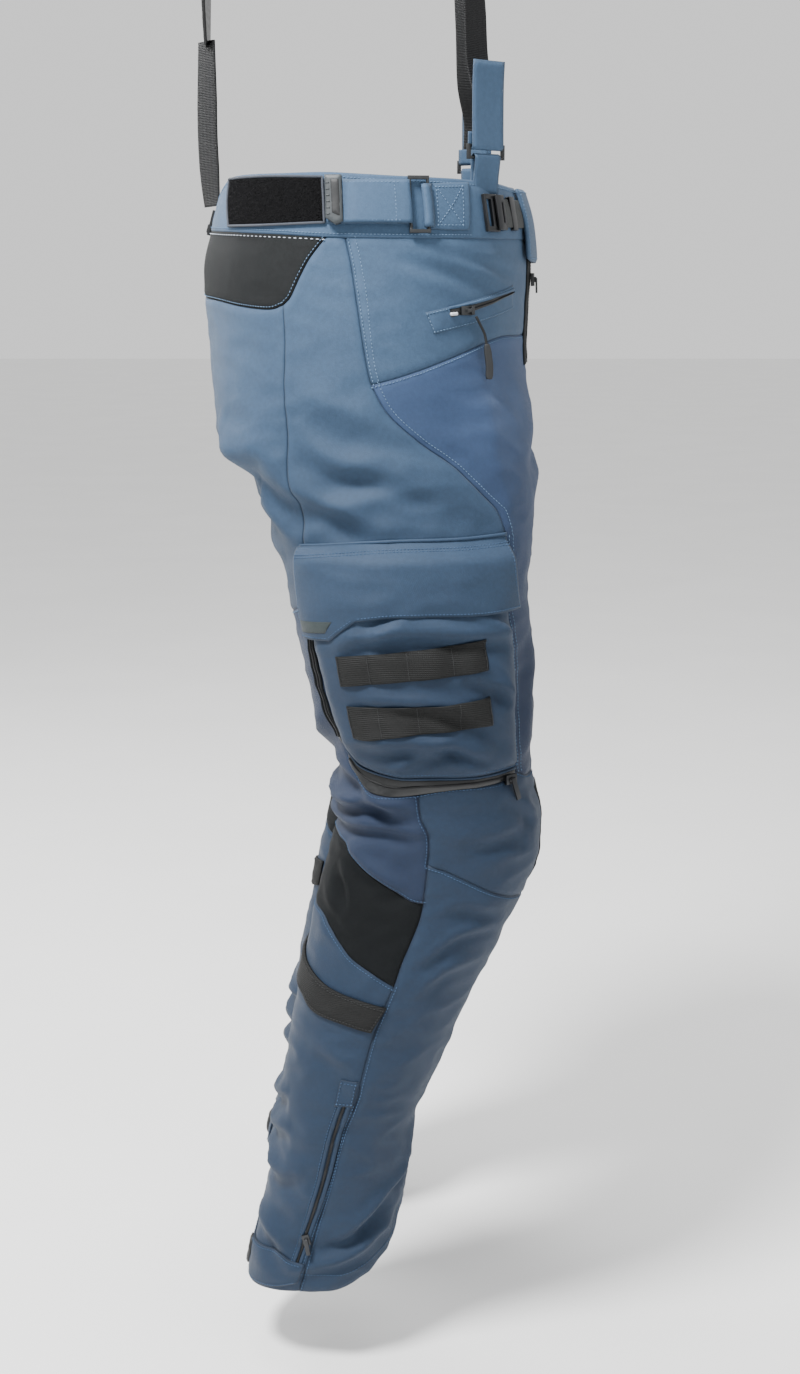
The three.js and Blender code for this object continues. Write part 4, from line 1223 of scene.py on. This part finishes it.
# Hand pocket
handPocket = {
    "welt": [[(0.4, -99), (0.29, -88), (0.176, -76)], [(0.167, -97)], [(0.28, -108), (0.384, -118)]],
    "weltRows": [[(0.397, -100.5), (0.29, -89.5), (0.178, -78)],
                 [(0.17, -96), (0.28, -106.5), (0.383, -116)], [(0.397, -101), (0.383, -116)]],
    "tape": [[(0.352, -96.5), (0.3, -92.5), (0.176, -81)], [(0.174, -84)], [(0.3, -99), (0.35, -104)]],
    "coil": [(0.35, -100), (0.3, -96), (0.176, -82.5)],
    "lip": [(0.354, -95.5), (0.3, -91.5), (0.176, -80)],
    "cordEnd": [(0.352, -101), (0.338, -100.5)],
}
for side in hands:
    clothShell(f"{side}_hand_welt", outline(*handPocket["welt"], step=3.5), "shell", "garment", side, 1.2,
               rolled(0.9, 0.9), 3.4, (1.2,))
    sewLines(handPocket["weltRows"], "garment", side, 0, 0.85)
    clothShell(f"{side}_hand_zip_tape", outline(*handPocket["tape"], step=3), "coated", "garment", side, 0.9,
               rolled(1.3, 0.5), 2.6, (0.9,))
    sewRow(curved(handPocket["coil"], 2), "garment", side, 0, 1.5, "coil", "coil")
    bead(f"{side}_hand_zip_lip", curved(handPocket["lip"], 3), 2.6, 2.2, "shell", "garment", side, 1.2)
    bead(f"{side}_hand_cord_end", curved(handPocket["cordEnd"], 1.5), 3.0, 2.6, "whiteCord",
         side + "_hand_slider", side, 2.6)

# Fly and front closure
fly = {
    "tape": [[(0.045, -38), (0.1, -38)], [(0.1, -150)], [(0.045, -150)]],
    "coil": [(0.0725, -40), (0.0725, -148)],
    "flap": [[(-0.125, 8), (0, 8), (0.125, 8)], [(0.13, -40)], [(0.13, -52), (0.1, -56)],
             [(0, -57), (-0.1, -56)], [(-0.13, -50)]],
    "flapRows": [[(-0.118, 5), (0.118, 5)], [(0.121, 5), (0.124, -50)], [(0.118, -53), (-0.118, -53)],
                 [(-0.124, -50), (-0.121, 5)]],
    "webbing": [[(-0.1, -2), (0.21, -2)], [(0.21, -26)], [(-0.1, -26)]],
    "bandEdge": [(0.045, 5), (0.045, -32)],
}
clothShell("fly_zip_tape", outline(*fly["tape"]), "black", "garment", "right", 1.2, rolled(1.5, 0.6), 4,
           (1.4,), ["fly_zip"])
sewRow(curved(fly["coil"], 2), "garment", "right", 0, 1.7, "coil", "coil")
clothShell("fly_flap_cloth", outline(*fly["flap"], step=4), "shell", "fly_flap", "right", 2.0,
           rolled(7.2, 1.4, 1.8, 2), 4, (1.5, 3.0), ["fly_flap"], "hung")
sewLines(fly["flapRows"], "fly_flap", "right", 0, 7.05)
clothShell("buckle_webbing_cloth", outline(*fly["webbing"], step=4), "greyWeb", "garment", "right", 1.4,
           rolled(4.1, 0.4), 4, (1.2,), ["buckle_webbing"])
for side in hands:  # the plain front edge of the band, closed by the flap
    sewRow(curved(fly["bandEdge"], 3), "garment", side, 0, 1.3)
print("front done")

# Waist adjusters
field = {
    "edges": {
        "top": [(0.85, 17), (0.7, 17), (0.575, 15.5)],
        "front": [(0.575, 15.5), (0.566, -23)],
        "low": [(0.566, -23), (0.7, -25), (0.8, -25)],
        "rear": [(0.8, -25), (0.83, -5), (0.85, 17)],
    },
    "inside": [[(0.838, 15), (0.7, 15), (0.58, 13.5)], [(0.571, -21)], [(0.7, -23), (0.795, -23)],
               [(0.822, -5), (0.838, 15)]],
    "pile": {"Density": 1500000.0, "Seed": 4, "Height": 0.0011, "Fibre": looks["pile"]},
}
anchor = {
    "patch": [[(0.393, 10), (0.345, 11), (0.297, 12)], [(0.315, -29)], [(0.36, -29), (0.4, -28)]],
    "rows": [[(0.378, 7), (0.318, 8)], [(0.318, 8), (0.33, -25)], [(0.33, -25), (0.382, -25)],
             [(0.382, -25), (0.378, 7)], [(0.378, 7), (0.33, -25)], [(0.318, 8), (0.382, -25)]],
}
ring = {"middle": 4.4, "round": 2.7, "reach": 3.0, "turn": 440, "anchorBar": 0.402, "strapBar": 0.4345}
strap = {
    "under": [(0.6, 1.9), (0.54, 1.9), (0.48, 1.9), (0.447, 1.9)],
    "over": [(0.447, 6.8), (0.48, 7.0), (0.51, 7.1), (0.54, 7.2)],
    "rows": [[(0.452, 10.2), (0.53, 10.2)], [(0.452, -21.8), (0.53, -21.8)], [(0.458, 10), (0.458, -21.5)]],
}
grip = {
    "body": [[(0.568, 16), (0.538, 16)], [(0.533, -23)], [(0.545, -25.5)], [(0.562, -20)]],
    "plate": [[(0.556, 12), (0.542, 12)], [(0.538, -19)], [(0.551, -16)]],
    "ribs": 6,
    "rib": [(0.5645, 9), (0.5585, 9)],
    "ribStep": (-0.0009, -5.2),
}
pileRowsTree = pileTree()
barTurns = np.linspace(-0.5 * math.pi, 0.5 * math.pi, 9)
for side in hands:
    hand = hands[side]
    strapBody = f"{side}_adjuster_strap"
    clothShell(f"{side}_loop_field", loopOf(*field["edges"].values(), step=4), "pileBase", "garment", side,
               1.6, rolled(3.0, 0.6), 4, (1.5,))
    border = np.vstack([curved(run, 3)[:-1] for run in field["edges"].values()])
    bead(f"{side}_loop_binding", border, 2.4, 1.8, "binding", "garment", side, 3.0, closed=True)
    uz, faces, edge = flatNet(outline(*field["inside"], step=4), 4, (1.5,))
    points = clothPoint(uz[:, 0], uz[:, 1], 3.1, hand)
    ground = bpy.data.meshes.new("pileField")
    ground.from_pydata((points / 1000).tolist(), [], faces.tolist())
    place(grown(f"{side}_loop_pile", pileRowsTree, ground, field["pile"]), "pile", "garment")
    clothShell(f"{side}_anchor_patch", outline(*anchor["patch"], step=3.5), "shell", "garment", side, 1.4,
               rolled(3.6, 0.9, 1.4, 2), 3.6, (1.3,))
    sewLines(anchor["rows"], "garment", side, 0, 3.6)
    sweep = [(ring["anchorBar"] + ring["reach"] * math.cos(t) / ring["turn"] - 0.002,
              ring["middle"] + ring["round"] * math.sin(t)) for t in barTurns]
    wrapBand(f"{side}_anchor_loop", [(0.392, 1.7), *sweep, (0.39, 5.6)], np.linspace(9, -27, 10), 1.2,
             "shell", "garment", side)
    sweep = [(ring["strapBar"] - ring["reach"] * math.cos(t) / ring["turn"] + 0.003,
              ring["middle"] - ring["round"] * math.sin(t)) for t in barTurns[::-1]]
    wrapBand(f"{side}_adjuster_strap_cloth", strap["under"] + sweep + strap["over"],
             np.linspace(12.5, -24, 12), 1.3, "shell", strapBody, side, [strapBody])
    sewLines(strap["rows"], strapBody, side, 0, 7.15)
    clothShell(f"{side}_grip", outline(*grip["body"], step=2.5), "rubber", strapBody, side, 5.6,
               lambda d: 8.6 + 1.4 * smoothStep(d / 1.4), 2.4, (0.6, 1.4))
    clothShell(f"{side}_grip_plate", outline(*grip["plate"], step=2), "darkRubber", strapBody, side, 1.0,
               lambda d: 10.1 + 0.5 * smoothStep(d / 0.8), 2, (0.6,))
    for k in range(grip["ribs"]):
        rib = curved(np.array(grip["rib"]) + np.array(grip["ribStep"]) * k, 1.2)
        bead(f"{side}_grip_rib_{k}", rib, 1.2, 1.4, "rubber", strapBody, side, 9.9)
print("waist adjusters done")

# Moulded and metal fittings, from the fixed shapes with their edges softened
fittings = {  # finish and width of the softened edge
    "brace_clip": ("plastic", 0.5), "fly_slider": ("plastic", 0.35), "buckle_frame": ("metal", 0.6),
    "buckle_hook": ("metal", 0.5), "buckle_glide": ("metal", 0.5),
}
pairedFittings = {
    "adjuster_ring": ("plastic", 0.45), "brace_ring": ("plastic", 0.45), "cargo_slider": ("metal", 0.4),
    "hand_slider": ("plastic", 0.4), "ankle_slider": ("metal", 0.35),
}
fittings.update({f"{side}_{name}": finish for name, finish in pairedFittings.items() for side in hands})
for node, (look, width) in fittings.items():
    source = bpy.data.objects.new(node + "_copy", cadNodes[node].data.copy())
    bpy.context.scene.collection.objects.link(source)
    shape = bmesh.new()
    shape.from_mesh(source.data)
    bmesh.ops.remove_doubles(shape, verts=shape.verts, dist=1e-6)
    bmesh.ops.dissolve_limit(shape, angle_limit=math.radians(2), verts=shape.verts, edges=shape.edges)
    shape.to_mesh(source.data)
    shape.free()
    soften = source.modifiers.new("edges", "BEVEL")
    soften.width, soften.segments = width / 1000, 3
    soften.limit_method, soften.angle_limit = "ANGLE", math.radians(38)
    bpy.context.view_layer.update()
    mesh = bpy.data.meshes.new_from_object(source.evaluated_get(bpy.context.evaluated_depsgraph_get()))
    bpy.data.objects.remove(source)
    mesh.materials.clear()
    mesh.materials.append(looks[look])
    mesh.shade_smooth()
    mesh.set_sharp_from_angle(angle=math.radians(35))
    obj = bpy.data.objects.new(node + "_fitting", mesh)
    bpy.context.scene.collection.objects.link(obj)
    place(obj, look, cadNodes[node]["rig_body"], [node])
print("fittings done")

# Pull on each hand pocket's slider: a short cord with a moulded tab
puller = {
    "cord": [(97.4, -157.8, -103), (101.6, -156, -111), (105.4, -154.2, -119), (107.4, -153.2, -130)],
    "tab": [(107.2, -153.3, -127), (108.6, -153.2, -137), (109.8, -153.4, -147), (109.6, -153.8, -158)],
    "facing": ([0, -1.0, 0], [0.25, -1.0, 0]),
    "cordWidth": 2.5,
    "tabWidth": ([0, 0.08, 0.2, 0.9, 1], [3.6, 5.2, 6.6, 6.8, 5.0]),  # along it
    "tabThick": 3.6,
    "points": 24,
}
for side in hands:
    flip = np.array([1, hands[side], 1])
    body, n = side + "_hand_puller", puller["points"]
    cordFacing, tabFacing = (np.tile(way, (n, 1)) * flip for way in puller["facing"])
    tube(body + "_cord", spline(puller["cord"], n) * flip, cordFacing, puller["cordWidth"],
         puller["cordWidth"], "cord", body, sides=10, standsFor=[body])
    width = np.interp(np.linspace(0, 1, n), *puller["tabWidth"])
    tube(body + "_tab", spline(puller["tab"], n) * flip, tabFacing, width, puller["tabThick"], "darkRubber",
         body, sides=16, standsFor=[body], square=0.4)

# Braces
brace = {
    "x": (0.7507, 0.6606, 0), "y": (0.66, -0.75, 0), "at": (106, -121, 12),
    "elastic": 28, "fold": 37, "tab": 30, "thick": 2.0, "clothThick": 1.5,
    "facing": [(0.66, -0.75, 0), (0.66, -0.75, 0), (0.72, -0.7, 0), (0.85, -0.5, 0.2), (0.75, -0.35, 0.55),
               (0, -0.2, 1), (-0.7, -0.3, 0.6), (-0.95, -0.3, 0.2), (-1, -0.1, 0.05)],
    "turn": 2.9,
}
lowerStrap = {
    "path": [(-151.5, 0, 146), (-152, 0, 105), (-152.4, 0, 60), (-151, 0, 20), (-149.5, 0, -4)],
    "facing": [(-0.84, -0.54, 0), (-0.8, -0.6, 0), (-0.8, -0.6, 0), (-0.84, -0.54, 0)],
    "width": [32, 34, 34, 30],
    "thick": 2.4,
}
crossPatch = {
    "outline": [(-37, 204), (-21, 208), (0, 201), (21, 208), (37, 204), (25, 166), (16, 141), (-16, 141),
                (-24, 166)],
    "inside": -149.4,
    "outside": -149.6,
    "crown": (2.6, 1.2, 5),  # thickness at the edge, rise to the middle, width of the rise
    "lump": (9, 0.25),
}


def onBrace(y, z):
    return np.array(brace["at"], float) + np.array(brace["y"]) * y + np.array([0, 0, z])


def strapAlong(name, points, faces, width, thick, side, standsFor, count=60):
    flip = np.array([1, hands[side], 1])
    gone = np.linspace(0, 1, count)
    stops = np.linspace(0, 1, len(faces))
    facing = np.stack([np.interp(gone, stops, way) for way in np.array(faces, float).T], axis=1) * flip
    wide = np.interp(gone, np.linspace(0, 1, len(width)), width) if np.ndim(width) else width
    return tube(name, spline(points, count) * flip, unit(facing), wide, thick, "elastic", "garment",
                sides=14, standsFor=standsFor, square=0.28)


shoulder = [onBrace(-1.4, 36.5), onBrace(-0.8, 70), (98, -111, 118), (95, -107, 173), (87, -105, 250),
            (67, -104, 330), (33, -104, 402), (-20, -103, 436), (-78, -97, 412), (-120, -78, 345),
            (-142, -46, 262), (-149.5, -21, 202)]
halfTurn = np.linspace(0, math.pi, 7)
aboveRing = [onBrace(-brace["turn"] * math.cos(t), 32 - brace["turn"] * math.sin(t)) for t in halfTurn]
underRing = [onBrace(-brace["turn"] * math.cos(t), 22 + brace["turn"] * math.sin(t)) for t in halfTurn]
foldPath = [onBrace(-2.9, 44), onBrace(-2.9, 38), *aboveRing, onBrace(2.7, 40), onBrace(2.4, 60),
            onBrace(2.4, 84), onBrace(3.4, 104)]
tabPath = [onBrace(-2.4, -18), onBrace(-2.6, 4), onBrace(-2.8, 14), *underRing, onBrace(2.0, 14),
           onBrace(0.6, 4), onBrace(0.4, -10)]
for side in hands:
    strapAlong(f"{side}_brace_elastic", shoulder, brace["facing"], brace["elastic"], brace["thick"], side,
               [f"{side}_brace_strap"], 150)
    ribbonFold(f"{side}_brace_fold_cloth", foldPath, brace["clothThick"], brace["fold"], side,
               f"{side}_brace_fold", [f"{side}_brace_fold"])
    ribbonFold(f"{side}_brace_tab", tabPath, brace["clothThick"], brace["tab"], side, "garment")
strapAlong("brace_back_strap", lowerStrap["path"], lowerStrap["facing"], lowerStrap["width"],
           lowerStrap["thick"], "right", ["brace_back"])
corners = [(y / flatScale, z) for y, z in crossPatch["outline"]]
crossLoop = outline(corners[:2], *[[corner] for corner in corners[2:]], step=4)
uz, faces, edge = flatNet(crossLoop, 4.5, (1.6,))
patchY, patchZ = uz[:, 0] * flatScale, uz[:, 1]
d = edgeDistance(np.stack([patchY, patchZ], axis=1), edge)
size, proud = crossPatch["lump"]
lumps = np.array([noise.noise(Vector((y / size, z / size, 2.0))) for y, z in zip(patchY, patchZ)])
thin, rise, wide = crossPatch["crown"]
crown = thin + rise * smoothStep(d / wide) + proud * lumps
outer = np.stack([crossPatch["outside"] - crown, patchY, patchZ], axis=1)
inner = np.stack([np.full(len(d), crossPatch["inside"]), patchY, patchZ], axis=1)
closedShell("brace_cross_patch", outer, inner, faces, np.tile([-1.0, 0, 0], (len(d), 1)),
            np.stack([patchY, patchZ], axis=1), d, "coated", "garment", ["brace_back"])
print("braces done")

growRows()
print("stitching done:", len(made), "pieces")

# Floor, light and camera
studio = {
    "floor": -1.118,
    "floorTones": ((0.86, 0.86, 0.855, 1), (0.89, 0.89, 0.885, 1)),
    "floorRough": 0.75,
    "camera": (0.03, -1.80, -0.06),
    "tilt": 13,
    "lens": 47.7,
    "aim": (0, 0, -0.35),
    "lights": [  # place, size, power
        ((-0.85, -0.95, 1.65), 0.6, 155), ((1.9, -1.6, 0.9), 2.0, 10), ((-0.2, 0.6, 2.3), 1.2, 30),
        ((-1.6, 1.5, 0.9), 1.2, 30),
    ],
    "world": 1.0,
}
bpy.ops.mesh.primitive_plane_add(size=40, location=(0, 0, studio["floor"]))
floor = bpy.context.object
floor.name = "floor"
floorLook = Look("paleFloor")
floorClouds = floorLook.ramp(floorLook.grain(floorLook.place(), 3, 3), 0.3, 0.7)
floorTone = floorLook.mix(floorClouds, *studio["floorTones"])
floor.data.materials.append(floorLook.finish(floorTone, studio["floorRough"]))
floor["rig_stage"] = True
for spot, size, watts in studio["lights"]:
    lamp = bpy.data.lights.new("softbox", "AREA")
    lamp.shape, lamp.size, lamp.energy = "DISK", size, watts
    holder = bpy.data.objects.new("softbox", lamp)
    holder.location = spot
    holder.rotation_euler = (Vector(studio["aim"]) - Vector(spot)).to_track_quat("-Z", "Y").to_euler()
    bpy.context.scene.collection.objects.link(holder)
world = bpy.data.worlds.new("studio")
world.use_nodes = True
background = world.node_tree.nodes["Background"]
background.inputs["Color"].default_value = (1, 1, 1, 1)
background.inputs["Strength"].default_value = studio["world"]
bpy.context.scene.world = world
camera = bpy.data.objects.new("camera", bpy.data.cameras.new("camera"))
camera.data.lens = studio["lens"]
camera.data.sensor_width = 36
camera.location = studio["camera"]
camera.rotation_euler = (math.radians(90 - studio["tilt"]), 0, 0)
bpy.context.scene.collection.objects.link(camera)
bpy.context.scene.camera = camera

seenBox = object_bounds()
for name, box in (("cad", cadBox), ("visual", seenBox)):
    print("size:", name, [[round(c, 3) for c in v] for v in box])
